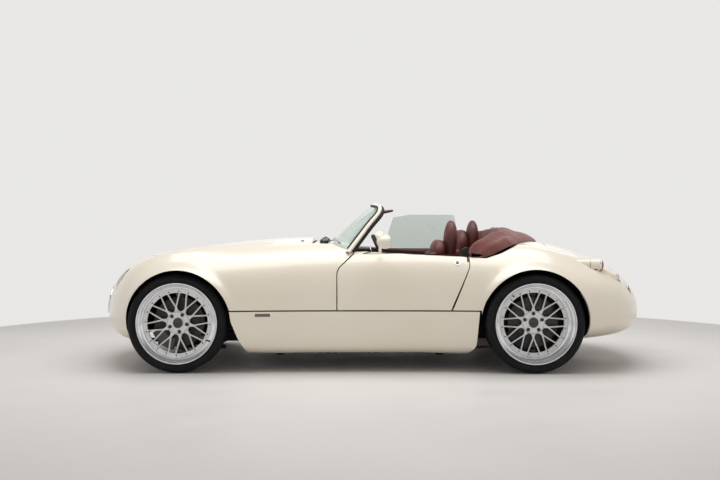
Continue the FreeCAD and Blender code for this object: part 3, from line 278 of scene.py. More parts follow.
class Shader:
    """A material's nodes, with short ways to add the usual patterns."""

    def __init__(self, name):
        self.material = bpy.data.materials.new(name)
        self.material.use_nodes = True
        self.tree = self.material.node_tree
        self.surface = self.tree.nodes["Principled BSDF"]
        self.place = self.add("ShaderNodeTexCoord").outputs["Object"]

    def add(self, kind, **settings):
        node = self.tree.nodes.new(kind)
        for key, value in settings.items():
            setattr(node, key, value)
        return node

    def link(self, start, end):
        self.tree.links.new(start, end)

    def set(self, **values):
        for key, value in values.items():
            self.surface.inputs[key.replace("_", " ")].default_value = value

    def texture(self, node, output, **inputs):
        """Feeds a texture node with the object's own coordinates."""
        self.link(self.place, node.inputs["Vector"])
        for key, value in inputs.items():
            node.inputs[key].default_value = value
        return node.outputs[output]

    def noise(self, scale, detail=3.0):
        return self.texture(self.add("ShaderNodeTexNoise"), "Fac", Scale=scale, Detail=detail, Roughness=0.5)

    def cells(self, scale):
        node = self.add("ShaderNodeTexVoronoi", feature="DISTANCE_TO_EDGE")
        return self.texture(node, "Distance", Scale=scale)

    def waves(self, scale, direction):
        node = self.add("ShaderNodeTexWave", bands_direction=direction)
        return self.texture(node, "Fac", Scale=scale, Distortion=0.0)

    def between(self, value, low, high, start=0.0, end=1.0):
        node = self.add("ShaderNodeMapRange")
        self.link(value, node.inputs["Value"])
        for key, number in (("From Min", start), ("From Max", end), ("To Min", low), ("To Max", high)):
            node.inputs[key].default_value = number
        return node.outputs["Result"]

    def mix(self, value, first, second):
        node = self.add("ShaderNodeMix", data_type="RGBA")
        self.link(value, node.inputs["Factor"])
        node.inputs["A"].default_value = first
        node.inputs["B"].default_value = second
        return node.outputs["Result"]

    def sum(self, first, second, operation="ADD"):
        node = self.add("ShaderNodeMath", operation=operation)
        self.link(first, node.inputs[0])
        self.link(second, node.inputs[1])
        return node.outputs["Value"]

    def colour(self, first, second, pattern, start=0.35, end=0.65):
        self.link(self.mix(self.between(pattern, 0, 1, start, end), first, second),
                  self.surface.inputs["Base Color"])

    def rough(self, low, high, pattern):
        self.link(self.between(pattern, low, high, 0.3, 0.7), self.surface.inputs["Roughness"])

    def bump(self, pattern, depth, strength=1.0):
        node = self.add("ShaderNodeBump")
        node.inputs["Distance"].default_value = depth
        node.inputs["Strength"].default_value = strength
        self.link(pattern, node.inputs["Height"])
        self.link(node.outputs["Normal"], self.surface.inputs["Normal"])


def paint_material():
    s = Shader("cream_paint")
    s.colour(tone(240, 231, 215), tone(237, 227, 210), s.noise(1.3, 2))
    s.rough(0.36, 0.42, s.noise(6, 3))
    s.bump(s.noise(700, 1), 0.00002, 0.35)
    s.set(Coat_Weight=0.75, Coat_Roughness=0.13, Coat_IOR=1.45)
    return s.material


def leather_material(name, first, second, rough=(0.42, 0.58)):
    s = Shader(name)
    s.colour(first, second, s.noise(9, 4))
    grain = s.cells(620)
    fine = s.noise(1800, 2)
    s.rough(*rough, s.noise(60, 4))
    s.bump(s.sum(s.between(grain, 0, 1, 0.0, 0.25), s.between(fine, 0, 0.4)), 0.00035, 0.7)
    s.set(Coat_Weight=0.08, Coat_Roughness=0.4)
    return s.material


def cloth_material(name, first, second, pitch=0.0011):
    s = Shader(name)
    s.colour(first, second, s.noise(14, 5))
    across = s.waves(1.0 / pitch / 6.283, "X")
    along = s.waves(1.0 / pitch / 6.283, "Y")
    weave = s.sum(across, along, "MULTIPLY")
    s.rough(0.62, 0.82, s.noise(40, 4))
    s.bump(s.sum(weave, s.noise(900, 2)), 0.0003, 0.5)
    s.set(Sheen_Weight=0.25, Sheen_Roughness=0.5)
    return s.material


def plastic_material(name, first, second, rough=(0.45, 0.6), depth=0.00012, scale=900, coat=0.0, shine=0.5):
    s = Shader(name)
    s.colour(first, second, s.noise(11, 4))
    s.rough(*rough, s.noise(30, 4))
    s.bump(s.noise(scale, 2), depth, 0.6)
    s.set(Coat_Weight=coat, Coat_Roughness=0.1, Specular_IOR_Level=shine)
    return s.material


def metal_material(name, first, second, rough, depth, scale=500, metallic=1.0):
    s = Shader(name)
    s.colour(first, second, s.noise(18, 4))
    s.rough(*rough, s.noise(scale / 6, 3))
    s.bump(s.noise(scale, 2), depth, 0.5)
    s.set(Metallic=metallic)
    return s.material


def glass_material(name, tint, alpha):
    s = Shader(name)
    s.colour(tint, darker(tint, 0.97), s.noise(3, 2))
    s.rough(0.02, 0.04, s.noise(25, 3))
    s.bump(s.noise(5, 1), 0.00005, 0.2)
    s.set(Alpha=alpha, IOR=1.5, Specular_IOR_Level=0.7, Coat_Weight=0.6, Coat_Roughness=0.02)
    return s.material


def lens_material(name, tint, alpha):
    s = Shader(name)
    s.colour(tint, darker(tint, 0.8), s.noise(30, 2))
    s.rough(0.06, 0.12, s.noise(60, 2))
    s.bump(s.waves(LENS_RIBS, "Y"), 0.0004, 0.5)
    s.set(Alpha=alpha, IOR=1.49, Coat_Weight=0.8, Coat_Roughness=0.03)
    return s.material


# A row is a look: its material's name, two colours, then what the family's function takes after them
LEATHERS = {
    "red_leather": ("red_leather", (104, 50, 45), (84, 38, 35)),
    "dark_red": ("dark_red_leather", (62, 32, 31), (48, 24, 24)),
    "black_leather": ("black_leather", (34, 33, 33), (24, 23, 23), (0.4, 0.55)),
}
CLOTHS = {
    "cover": ("cover_cloth", (122, 62, 56), (104, 50, 46)),
    "carpet": ("carpet", (58, 26, 26), (44, 19, 20), 0.004),
    "carpet_black": ("carpet_black", (30, 28, 28), (20, 19, 19), 0.004),
}
PLASTICS = {
    "black": ("black_trim", (30, 30, 31), (20, 20, 21)),
    "gloss_black": ("gloss_black", (16, 16, 17), (11, 11, 12), (0.12, 0.2), 0.00003, 300, 0.6),
    # The seal colour also serves as painted shade on the doors' cut edges in the panel gaps
    "seal": ("rubber_seal", (26, 26, 27), (18, 18, 19), (0.55, 0.75), 0.0001, 700),
    "underbody": ("underbody_black", (24, 24, 25), (15, 15, 16), (0.7, 0.9), 0.0005, 240),
    "tyre": ("tyre_rubber", (22, 22, 23), (14, 14, 15), (0.6, 0.8), 0.00015, 500, 0.0, 0.25),
    "calliper": ("brake_calliper", (112, 108, 103), (98, 94, 90), (0.5, 0.65)),
    "dark_bore": ("pipe_soot", (24, 22, 21), (12, 11, 11), (0.8, 0.95), 0.0003, 400),
    "dial": ("dial_face", (20, 20, 22), (14, 14, 15), (0.3, 0.4), 0.00002, 300),
    "dial_white": ("dial_marks", (230, 230, 226), (218, 218, 214), (0.35, 0.45), 0.00001, 300),
}
METALS = {
    "chrome": ("bright_chrome", (232, 232, 234), (218, 219, 222), (0.05, 0.1), 0.00001),
    "silver": ("rim_silver", (226, 226, 226), (214, 214, 215), (0.34, 0.44), 0.00003, 800, 0.55),
    "polished": ("polished_lip", (226, 227, 230), (212, 213, 216), (0.10, 0.17), 0.00001, 300),
    "steel": ("plain_steel", (150, 150, 150), (126, 125, 123), (0.3, 0.45), 0.00006, 400),
    "dark_steel": ("dark_steel", (62, 62, 64), (44, 44, 46), (0.4, 0.55), 0.00006, 400),
    "iron": ("disc_iron", (74, 69, 65), (54, 50, 48), (0.35, 0.5), 0.00005, 500),
    "cast": ("cast_metal", (120, 121, 123), (94, 95, 96), (0.5, 0.65), 0.0004, 260),
    "bronze": ("bare_badge", (120, 108, 98), (106, 95, 86), (0.35, 0.45), 0.00003, 300, 0.6),
    "mirror": ("mirror_glass", (210, 216, 220), (204, 210, 214), (0.02, 0.04), 0.000002, 40),
}
MAT = {
    "paint": paint_material(),
    "glass": glass_material("window_glass", tone(212, 238, 224), 0.34),
    "lamp_glass": glass_material("lamp_glass", tone(240, 243, 244), 0.18),
    "red_lamp": lens_material("red_lamp", tone(150, 22, 32), 0.94),
    "clear_lamp": lens_material("clear_lamp", tone(225, 222, 220), 0.72),
    "amber_lamp": lens_material("amber_lamp", tone(222, 128, 30), 0.85),
}
for family, table in ((leather_material, LEATHERS), (cloth_material, CLOTHS), (plastic_material, PLASTICS),
                      (metal_material, METALS)):
    for look, (name, first, second, *rest) in table.items():
        MAT[look] = family(name, tone(*first), tone(*second), *rest)

NODE_LOOKS = {
    "paint": ["front_body", "bonnet", "rear_body", "boot_lid", "sills", "door_left", "door_right",
              "mirror_left", "mirror_right"],
    "glass": ["door_glass_right"],
    "underbody": ["floor_tub", "wheelhouse_liners"],
    "black_leather": ["dashboard", "steering_wheel"],
    "black": ["roof_frame", "wipers"],
    "chrome": ["grille"],
    "silver": ["headlamp_bowls"],
    "lamp_glass": ["headlamps"],
    "amber_lamp": ["front_indicators"],
    "red_lamp": ["tail_lamps_red"],
    "clear_lamp": ["tail_lamps_clear"],
    "steel": ["exhaust"],
    "cast": ["engine_block", "knuckle_left", "knuckle_right"],
    "dark_steel": ["front_suspension", "rear_suspension"],
}
for corner_name in ("front_left", "front_right", "rear_left", "rear_right"):
    NODE_LOOKS.setdefault("silver", []).append("rim_" + corner_name)
    NODE_LOOKS.setdefault("iron", []).append("disc_" + corner_name)
for look, names in NODE_LOOKS.items():
    for node_name in names:
        NODES[node_name].data.materials.clear()
        NODES[node_name].data.materials.append(MAT[look])
PAINTED = ["front_body", "bonnet", "rear_body", "boot_lid", "sills", "door_left", "door_right"]
for node_name in PAINTED:
    smooth_skin(node_name)


# Parts of a solid in another material
def face_look(node, look, choose):
    """Gives a look to the faces that choose(centres, normals, inmost |y|) picks, in metres."""
    mesh = NODES[node].data
    corners = read(mesh.loops, "vertex_index", kind=int)
    widths = np.abs(read(mesh.vertices, "co", 3)[corners, 1])
    inmost = np.minimum.reduceat(widths, read(mesh.polygons, "loop_start", kind=int))
    picked = choose(read(mesh.polygons, "center", 3), read(mesh.polygons, "normal", 3), inmost)
    mesh.materials.append(MAT[look])
    slots = read(mesh.polygons, "material_index", kind=np.int32)
    slots[picked] = len(mesh.materials) - 1
    mesh.polygons.foreach_set("material_index", slots)


def from_axle(c, axle):
    return np.hypot(c[:, 0] - AXLES[axle], c[:, 2] - AXLE_Z)


for axle in AXLES:
    rim_width, dish = WIDTHS[axle][1:3]
    behind_ring = WHEEL_Y + rim_width / 2 - dish - 0.016
    for _, side_name in SIDES:
        # Painted shade: the rim's barrel behind the spoke ring takes the black trim colour, for the shade
        # inside the wheel
        face_look(f"rim_{axle}_{side_name}", "black",
                  lambda c, n, i: (from_axle(c, axle) > 0.19) & (i < behind_ring))
        face_look(f"rim_{axle}_{side_name}", "polished",
                  lambda c, n, i: (from_axle(c, axle) > 0.224) & (i >= behind_ring))
for _, side_name in SIDES:
    face_look("knuckle_" + side_name, "calliper",
              lambda c, n, i: (from_axle(c, "front") > 0.105) & (c[:, 0] < AXLES["front"] - 0.02))


def rear_calliper(c, n, i):
    from_middle = from_axle(c, "rear")
    return (from_middle > 0.105) & (from_middle < 0.215) & (np.abs(c[:, 1]) > 0.635) & (c[:, 0] > AXLES["rear"]
                                                                                        + 0.02)


# The jack pads, and painted shade along the rest of the sills' underside, in the dark underbody colour
def jack_pads_and_under_shade(c, n, i):
    return (c[:, 2] < 0.1185) & (np.abs(np.abs(c[:, 1]) - 0.634) < 0.05)


face_look("rear_suspension", "calliper", rear_calliper)
face_look("sills", "underbody", jack_pads_and_under_shade)


def gap_edge_shade(c, n, i):
    """The cut edges of a panel, just under its skin."""
    depth = np.abs(skin_field(*(c * 1000).T))
    side_on = np.abs(n[:, 1]) < 0.45
    return side_on & (np.abs(c[:, 1]) > 0.60) & (depth > 0.004) & (c[:, 2] < 0.80)


def inner_side(c, n, i):
    """Faces of a shell that look inwards, and the tray under the engine and the boot."""
    out = gradient(skin_field, *(c * 1000).T)
    out /= np.maximum(np.linalg.norm(out, axis=1), 1e-9)[:, None]
    facing = (n * out).sum(axis=1)
    return (facing < -0.3) | ((c[:, 2] < 0.30) & (np.abs(c[:, 1]) < 0.60) & (facing < 0.80))


# Painted shade: the doors' cut edges in the panel gaps take the dark rubber-seal colour
for node_name in ("door_left", "door_right"):
    face_look(node_name, "seal", gap_edge_shade)
for node_name in ("front_body", "rear_body"):
    face_look(node_name, "underbody", inner_side)


def in_bore(c, n, i):
    """The inner walls of the tail pipes."""
    from_pipe = np.minimum(np.abs(np.abs(c[:, 1]) - 0.300), np.abs(np.abs(c[:, 1]) - 0.370))
    return (np.hypot(from_pipe, c[:, 2] - PIPE_Z) < 0.0275) & (c[:, 0] > 1.5)


face_look("exhaust", "polished", lambda c, n, i: (c[:, 0] > 1.56))
# The inner walls of the tail pipes are made darker
face_look("exhaust", "dark_bore", in_bore)


def spoke_zone(c, n, i):
    """The spokes of the steering wheel, between its hub and its rim."""
    offset = c - STEERING_MIDDLE
    out = np.linalg.norm(offset - (offset @ STEERING_WAY)[:, None] * STEERING_WAY, axis=1)
    return (out > 0.052) & (out < 0.163)


face_look("steering_wheel", "steel", spoke_zone)


# Mesh helpers
def put(name, data):
    """Places an object in the scene."""
    obj = bpy.data.objects.new(name, data)
    bpy.context.scene.collection.objects.link(obj)
    return obj


def make(name, points, faces, look, body, smooth=True):
    mesh = bpy.data.meshes.new(name)
    mesh.from_pydata([tuple(float(c) for c in p) for p in points], [],
                     [tuple(int(i) for i in f) for f in faces])
    mesh.update()
    for polygon in mesh.polygons:
        polygon.use_smooth = smooth
    mesh.materials.append(MAT[look])
    obj = put(name, mesh)
    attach(obj, body)
    return obj


def grid_faces(rows, columns, round_rows=False, round_columns=False):
    faces = []
    for i in range(rows if round_rows else rows - 1):
        for j in range(columns if round_columns else columns - 1):
            a = i * columns + j
            b = i * columns + (j + 1) % columns
            c = ((i + 1) % rows) * columns + (j + 1) % columns
            d = ((i + 1) % rows) * columns + j
            faces.append((a, b, c, d))
    return faces


def sided(faces, as_is):
    return faces if as_is else [f[::-1] for f in faces]


class Pile:
    """Several shapes gathered into one mesh."""

    def __init__(self):
        self.points = []
        self.faces = []

    def add(self, points, faces):
        start = len(self.points)
        self.points.extend([tuple(p) for p in points])
        self.faces.extend([tuple(i + start for i in f) for f in faces])

    def lathe(self, profile, segments, point, axis, closed=False):
        self.add(*lathe(profile, segments, point, axis, closed))

    def sweep(self, path, section, up=UP, closed=False):
        self.add(*sweep(path, section, up, closed))

    def tube(self, corners, count, radius, sides=10):
        self.add(*sweep(smooth_path(corners, count), round_section(radius, sides)))

    def block(self, low, high, edge):
        self.add(*block(low, high, edge))

    def side_block(self, side, low, high, edge):
        """A block given for the right side of the car, on either side."""
        y_low, y_high = sorted((side * low[1], side * high[1]))
        self.block((low[0], y_low, low[2]), (high[0], y_high, high[2]), edge)

    def stud(self, place, way, radius, height):
        """A domed round fitting with a stepped foot."""
        profile = [(radius * 1.15, -0.001), (radius * 1.15, height * 0.25), (radius, height * 0.35),
                   (radius * 0.92, height * 0.8), (radius * 0.6, height), (TIP, height * 1.04)]
        self.lathe(profile, 24, place, way)

    def make(self, name, look, body, slot, smooth=True, crease=40):
        obj = make(name, self.points, self.faces, look, body, smooth)
        tidy_mesh(obj)
        if smooth and crease:
            obj.data.set_sharp_from_angle(angle=math.radians(crease))
        return obj


def tidy_mesh(obj):
    """Merges doubled points and turns every face outward."""
    work = bmesh.new()
    work.from_mesh(obj.data)
    bmesh.ops.remove_doubles(work, verts=work.verts, dist=1e-6)
    bmesh.ops.recalc_face_normals(work, faces=work.faces)
    work.to_mesh(obj.data)
    work.free()


def lathe(profile, segments, axis_point, axis, closed):
    """profile is (radius, distance along the axis)."""
    axis = Vector(axis).normalized()
    side = axis.orthogonal().normalized()
    other = axis.cross(side)
    origin = Vector(axis_point)
    points = []
    for k in range(segments):
        a = 2 * math.pi * k / segments
        way = side * math.cos(a) + other * math.sin(a)
        for r, d in profile:
            points.append(origin + way * r + axis * d)
    return points, grid_faces(segments, len(profile), round_rows=True, round_columns=closed)


def smooth_path(corners, count):
    """Evenly spread points on a curve through the corners."""
    p = np.array(corners, float)
    p = np.vstack([2 * p[0] - p[1], p, 2 * p[-1] - p[-2]])
    dense = []
    for i in range(len(corners) - 1):
        a, b, c, d = p[i:i + 4]
        for t in np.linspace(0, 1, 24, endpoint=False):
            dense.append(0.5 * (2 * b + (c - a) * t + (2 * a - 5 * b + 4 * c - d) * t * t
                                + (3 * b - a - 3 * c + d) * t ** 3))
    dense.append(p[-2])
    dense = np.array(dense)
    run = np.concatenate([[0], np.cumsum(np.linalg.norm(np.diff(dense, axis=0), axis=1))])
    at = np.linspace(0, run[-1], count)
    return np.stack([np.interp(at, run, dense[:, k]) for k in range(3)], 1)


def sweep(path, section, up=UP, closed=False):
    """Carries a closed section of (across, up) pairs along a path."""
    path = np.array(path, float)
    count = len(path)
    if closed:
        along = np.roll(path, -1, 0) - np.roll(path, 1, 0)
    else:
        along = np.gradient(path, axis=0)
    along /= np.linalg.norm(along, axis=1)[:, None]
    points = []
    for k in range(count):
        across = np.cross(along[k], np.array(up, float))
        across /= np.linalg.norm(across) + 1e-12
        upward = np.cross(across, along[k])
        for a, b in section:
            points.append(path[k] + across * a + upward * b)
    faces = grid_faces(count, len(section), round_rows=closed, round_columns=True)
    if not closed:
        faces.append(tuple(range(len(section)))[::-1])
        last = (count - 1) * len(section)
        faces.append(tuple(last + i for i in range(len(section))))
    return points, faces


def round_section(radius, count=10, flat=1.0):
    return [(radius * math.cos(2 * math.pi * k / count), radius * flat * math.sin(2 * math.pi * k / count))
            for k in range(count)]


def block(low, high, edge):
    """A box with bevelled edges, as points and faces."""
    work = bmesh.new()
    bmesh.ops.create_cube(work, size=1.0)
    low, high = Vector(low), Vector(high)
    for v in work.verts:
        v.co = Vector([low[k] + (v.co[k] + 0.5) * (high[k] - low[k]) for k in range(3)])
    bmesh.ops.bevel(work, geom=work.edges[:] + work.verts[:], offset=edge, segments=2, affect="EDGES",
                    profile=0.6)
    points = [v.co.copy() for v in work.verts]
    faces = [[v.index for v in f.verts] for f in work.faces]
    work.free()
    return points, faces


def turned(points, centre, axis, degrees):
    matrix = Matrix.Rotation(math.radians(degrees), 3, Vector(axis))
    centre = Vector(centre)
    return [centre + matrix @ (Vector(p) - centre) for p in points]


TREES = {}


def hit(name, start, way):
    """Where a ray first meets the named node: point and normal."""
    if name not in TREES:
        mesh = NODES[name].data
        TREES[name] = BVHTree.FromPolygons([v.co.copy() for v in mesh.vertices],
                                           [list(p.vertices) for p in mesh.polygons])
    return TREES[name].ray_cast(Vector(start), Vector(way).normalized())[:2]


def lathed(name, profile, segments, place, way, look, body, slot, closed=False):
    """A piece of one turned shape."""
    piece = Pile()
    piece.lathe(profile, segments, place, way, closed)
    piece.make(name, look, body, slot)


def padded(name, path, half_width, thickness, y_mid, look, body, **more):
    """A piece of one stuffed pad, fixed to its body as leather trim."""
    piece = Pile()
    piece.add(*pillow(path, half_width, thickness, y_mid, **more))
    piece.make(name, look, body, "red_leather")


# Wheels: tyres with tread, rivets, lug bolts, valves
# How far the spokes are turned and where the valve sits, in degrees
TURNS_OF = {"front": 28.4, "rear": 0.0}
VALVES = {"front": -29.4, "rear": 128.3}
TREAD_BLOCKS = 66
TREAD_GROOVES = (-0.62, -0.22, 0.22, 0.62)
WHEEL_AXIS = (0, 1, 0)
HUB = (0, 0, 0)


def tyre_mesh(width, rim_width):
    """Sidewall with a rim guard and plain rings, and a directional tread of blocks."""
    h = width / 2
    b = rim_width / 2
    wall = [
        (0.2575, b - 0.016), (0.2615, b - 0.004), (0.2660, b + 0.0015), (0.2705, b + 0.0035),
        (0.2735, b + 0.0030), (0.2745, b + 0.0010), (0.2790, h - 0.0020), (0.2850, h - 0.0005),
        (0.2900, h), (0.2950, h - 0.0004), (0.2955, h - 0.0012), (0.3000, h - 0.0020),
        (0.3005, h - 0.0030), (0.3060, h - 0.0065), (0.3100, h - 0.0105), (0.3130, h - 0.0145),
    ]
    tread_half = h - 0.019
    profile = [(r, -y) for r, y in wall]
    columns = 42
    for k in range(columns + 1):
        y = -tread_half + 2 * tread_half * k / columns
        profile.append((0.3216 - 0.0042 * abs(y / tread_half) ** 2.4, y))
    profile += [(r, y) for r, y in wall[::-1]]
    steps = TREAD_BLOCKS * 6
    r = np.array([p[0] for p in profile])
    y = np.array([p[1] for p in profile])
    share = y / tread_half
    rows = []
    for s in range(steps):
        depth = np.zeros_like(r)
        for groove in TREAD_GROOVES:
            depth = np.maximum(depth, np.where(np.abs(share - groove) < 0.045, 0.0065, 0.0))
        sweep_back = np.abs(share) * 0.9
        phase = ((s / steps * TREAD_BLOCKS) + sweep_back * 1.4) % 1.0
        block_gap = (phase < 0.17) & (np.abs(share) < 0.99) & (np.abs(share) > 0.24)
        depth = np.maximum(depth, np.where(block_gap, 0.0045, 0.0))
        shoulder = (phase < 0.12) & (r > 0.3095) & (r < 0.3175) & (np.abs(share) > 1.0)
        depth = np.maximum(depth, np.where(shoulder, 0.0016, 0.0))
        rows.append(np.stack([r - depth, y], 1))
    inside = [(0.2560, b - 0.020), (0.2560, -b + 0.020)]
    points = []
    width_count = len(profile) + len(inside)
    for s in range(steps):
        a = 2 * math.pi * s / steps
        for rr, yy in list(rows[s]) + inside:
            points.append((rr * math.cos(a), yy, rr * math.sin(a)))
    return points, grid_faces(steps, width_count, round_rows=True, round_columns=True)


def hexagon(radius, low, high, centre):
    """A bolt head with a chamfered rim, standing along -Y."""
    points = []
    bevel = 0.0015 * (high - low) / abs(high - low)
    for r, d in ((radius * 0.98, low), (radius, (low + high) / 2), (radius, high - bevel),
                 (radius * 0.82, high), (0.0005, high)):
        for k in range(6):
            a = math.radians(60 * k + 15)
            points.append((centre[0] + r * math.cos(a), d, centre[1] + r * math.sin(a)))
    return points, grid_faces(5, 6, round_columns=True)


def place_wheel(points, x, side):
    """From the wheel's own frame, outboard toward -Y, to its place on the car."""
    return [(px + x, -side * py + side * WHEEL_Y, pz + AXLE_Z) for px, py, pz in points]


def wheel_fittings(axle):
    """Rivets round the spoke ring, lug bolts in their pockets, centre cap and valve."""
    rim_width, dish, rake = WIDTHS[axle][1:]
    ring = -rim_width / 2 + dish
    hub = ring + rake - 0.002
    turn_back = TURNS_OF[axle]
    bright = Pile()
    dark = Pile()
    for k in range(20):
        a = math.radians(80 + 18 * k - turn_back)
        c = (0.2085 * math.cos(a), 0, 0.2085 * math.sin(a))
        head = [(0.0046, ring + 0.004), (0.0046, ring - 0.0012), (0.0036, ring - 0.0026), (TIP, ring - 0.0030)]
        dark.lathe(head, 12, c, WHEEL_AXIS)
    # Painted shade: the lug bolts and a dark cup in each pocket are gloss black, so the pockets read dark
    for k in range(5):
        a = math.radians(90 + 72 * k - turn_back)
        c = (0.058 * math.cos(a), 0.058 * math.sin(a))
        dark.add(*hexagon(0.0082, hub + 0.0095, hub + 0.0022, c))
        pocket_shade = [(0.0124, hub + 0.0004), (0.0121, hub + 0.0085), (0.0005, hub + 0.0088)]
        dark.lathe(pocket_shade, 20, (c[0], 0, c[1]), WHEEL_AXIS)
    edge = [(0.0352, hub - 0.0050), (0.0352, hub - 0.0076), (0.0340, hub - 0.0084), (0.0326, hub - 0.0078),
            (0.0322, hub - 0.0068)]
    bright.lathe(edge, 48, HUB, WHEEL_AXIS)
    dome = [(0.0328, hub - 0.0072), (0.0300, hub - 0.0084), (0.0200, hub - 0.0098), (0.0090, hub - 0.0104),
            (TIP, hub - 0.0106)]
    dark.lathe(dome, 48, HUB, WHEEL_AXIS)
    groove = [(0.0716, hub - 0.0002), (0.0716, hub - 0.0006), (0.0704, hub - 0.0006), (0.0704, hub - 0.0002)]
    dark.lathe(groove, 64, HUB, WHEEL_AXIS)
    a = math.radians(VALVES[axle])
    base = Vector((0.2345 * math.cos(a), ring - 0.012, 0.2345 * math.sin(a)))
    stem = [(0.0056, 0.0), (0.0056, 0.008), (0.0042, 0.010), (0.0042, 0.020), (0.0050, 0.021), (0.0050, 0.029),
            (0.0036, 0.031), (0.0003, 0.031)]
    way = Vector((-math.cos(a) * 0.5, -0.86, -math.sin(a) * 0.5))
    dark.lathe(stem, 14, base, way)
    return bright, dark


for axle, x in AXLES.items():
    width, rim_width = WIDTHS[axle][:2]
    tyre_points, tyre_faces = tyre_mesh(width, rim_width)
    metal, dark = wheel_fittings(axle)
    for side, side_name in SIDES:
        where = f"{axle}_{side_name}"
        body = "wheel_" + where
        tyre = make("tread_" + where, place_wheel(tyre_points, x, side), sided(tyre_faces, side < 0), "tyre",
                    body)
        tyre.data.set_sharp_from_angle(angle=math.radians(32))
        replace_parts(tyre, "tyre_" + where)
        for pile, kind, look, slot in ((metal, "rivets_", "polished", "rim_silver"),
                                       (dark, "lugs_", "gloss_black", "black_trim")):
            copy = Pile()
            copy.add(place_wheel(pile.points, x, side), pile.faces)
            copy.make(kind + where, look, body, slot)


# Seats: pleated middle, side bolsters, tall headrest, all in stuffed leather
def pillow(path, half_width, thickness, y_mid, pleats=0, power=2.6, crown=0.0, rows=44, around=56,
           groove=0.007, rounded=0.09):
    """A stuffed pad that follows a path in x and z, rounded at its ends and edges. half_width and
    thickness are functions of the share along the path."""
    line = smooth_path([(a, 0, b) for a, b in path], rows)
    along = np.gradient(line, axis=0)
    along /= np.linalg.norm(along, axis=1)[:, None]
    normal = np.stack([-along[:, 2], np.zeros(rows), along[:, 0]], 1)
    points = []
    for k in range(rows):
        s = k / (rows - 1)
        end = min(s / 0.09, (1 - s) / rounded)
        close = math.sqrt(max(0.0, 1 - (1 - min(1.0, end)) ** 2.2))
        close = max(close, 0.03)
        w = half_width(s) * (0.62 + 0.38 * close)
        t = thickness(s) / 2 * close
        for j in range(around):
            a = 2 * math.pi * j / around
            c, q = math.cos(a), math.sin(a)
            cz = squared(q, 2 / power)
            y = squared(c, 2 / power) * w
            up = cz * t + (crown * (1 - (y / w) ** 2) * close if cz > 0 else 0.0)
            if pleats and cz > 0:
                ripple = abs(math.sin(math.pi * pleats * (y / w + 1) / 2))
                up -= groove * (1 - ripple ** 0.45) * close * min(1.0,
                                                                  cz * 1.5) * (1 if abs(y) < 0.96 * w else 0)
            points.append(line[k] + np.array([0, y + y_mid, 0]) + normal[k] * up)
    faces = grid_faces(rows, around, round_columns=True)
    faces.append(tuple(range(around))[::-1])
    faces.append(tuple((rows - 1) * around + i for i in range(around)))
    return points, faces


def steady(value):
    return lambda s: value


def egg(s):
    """Width of the headrest along its height, as a share of its widest."""
    low = 0.84 + 0.16 * math.sin(math.pi * min(s / 0.5, 1.0) / 2)
    return low * math.sqrt(max(0.010, 1 - max(0.0, (s - 0.5) / 0.5) ** 2.1))


def seat(middle, shift, side_name, shoulder):
    """Bucket seat; every pad is a stuffed piece of its own. shift moves it back."""
    def pad(part, path, half_width, thickness, aside=0.0, look="red_leather", **more):
        path = [(a + shift, b) for a, b in path]
        points, faces = pillow(path, half_width, thickness, middle + aside, **more)
        obj = make(f"{part}_{side_name}", points, faces, look, "body")
        tidy_mesh(obj)
        return obj

    cushion = pad("cushion", [(-0.085, 0.282), (0.02, 0.302), (0.15, 0.288), (0.285, 0.268)], steady(0.152),
                  steady(0.095), pleats=7, crown=0.010)
    pad("cushion_nose", [(-0.108, 0.235), (-0.098, 0.285), (-0.045, 0.305), (-0.01, 0.300)], steady(0.205),
        steady(0.050), crown=0.004, rows=24)
    for edge, letter in ((-1, "a"), (1, "b")):
        pad("cushion_side_" + letter, [(-0.090, 0.262), (0.01, 0.322), (0.16, 0.318), (0.300, 0.290)],
            steady(0.036), steady(0.085), edge * 0.182, rows=36, around=32)
    pad("backrest", [(0.262, 0.272), (0.318, 0.44), (0.382, 0.62), (0.425, 0.755)],
        lambda s: 0.150 - 0.022 * s * s, lambda s: 0.085 - 0.02 * s, pleats=7, crown=0.008)
    for edge, letter in ((-1, "a"), (1, "b")):
        pad("backrest_side_" + letter, [(0.245, 0.295), (0.295, 0.45), (0.362, 0.62), (0.416, 0.775)],
            lambda s: 0.037 - 0.010 * s, lambda s: 0.110 - 0.034 * s, edge * 0.176, rows=40, around=32)
    pad("backrest_shell", [(0.330, 0.215), (0.378, 0.41), (0.436, 0.60), (0.468, 0.765)],
        lambda s: 0.207 - 0.045 * s ** 3, steady(0.070), look="dark_red", crown=-0.004)
    pad("shoulder_yoke", [(0.428, 0.680), (0.440, 0.745), (0.450, 0.800 + 0.5 * shoulder),
                          (0.458, 0.858 + shoulder)],
        lambda s: 0.175 * egg(0.94 * s), lambda s: 0.104 * egg(0.97 * s), crown=0.003, rows=40, rounded=0.02)
    pad("headrest", [(0.524, 0.725), (0.533, 0.820), (0.539, 0.910), (0.541, 0.9915)], lambda s: 0.108 * egg(s),
        lambda s: 0.092 * egg(s), pleats=3, crown=0.003, rows=64, groove=0.004, rounded=0.012)
    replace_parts(cushion, "seat_" + side_name)


seat(DRIVER_Y, 0.0, "left", 0.0)
seat(PASSENGER_Y, 0.225, "right", 0.062)

# Seat rails on the floor
for middle, side_name in ((DRIVER_Y, "left"), (PASSENGER_Y, "right")):
    rails = Pile()
    for edge in (-0.150, 0.150):
        y = middle + edge
        rails.block((-0.055, y - 0.019, FLOOR_Z), (0.375, y + 0.019, 0.154), 0.002)
        rails.block((-0.045, y - 0.014, 0.154), (0.365, y + 0.014, 0.176), 0.003)
        rails.block((-0.005, y - 0.006, 0.174), (0.325, y + 0.006, 0.246), 0.002)
        for x in (-0.035, 0.355):
            rails.stud((x, y, 0.154), UP, 0.008, 0.006)
    rails.make("seat_rails_" + side_name, "dark_steel", "body", "black_trim")


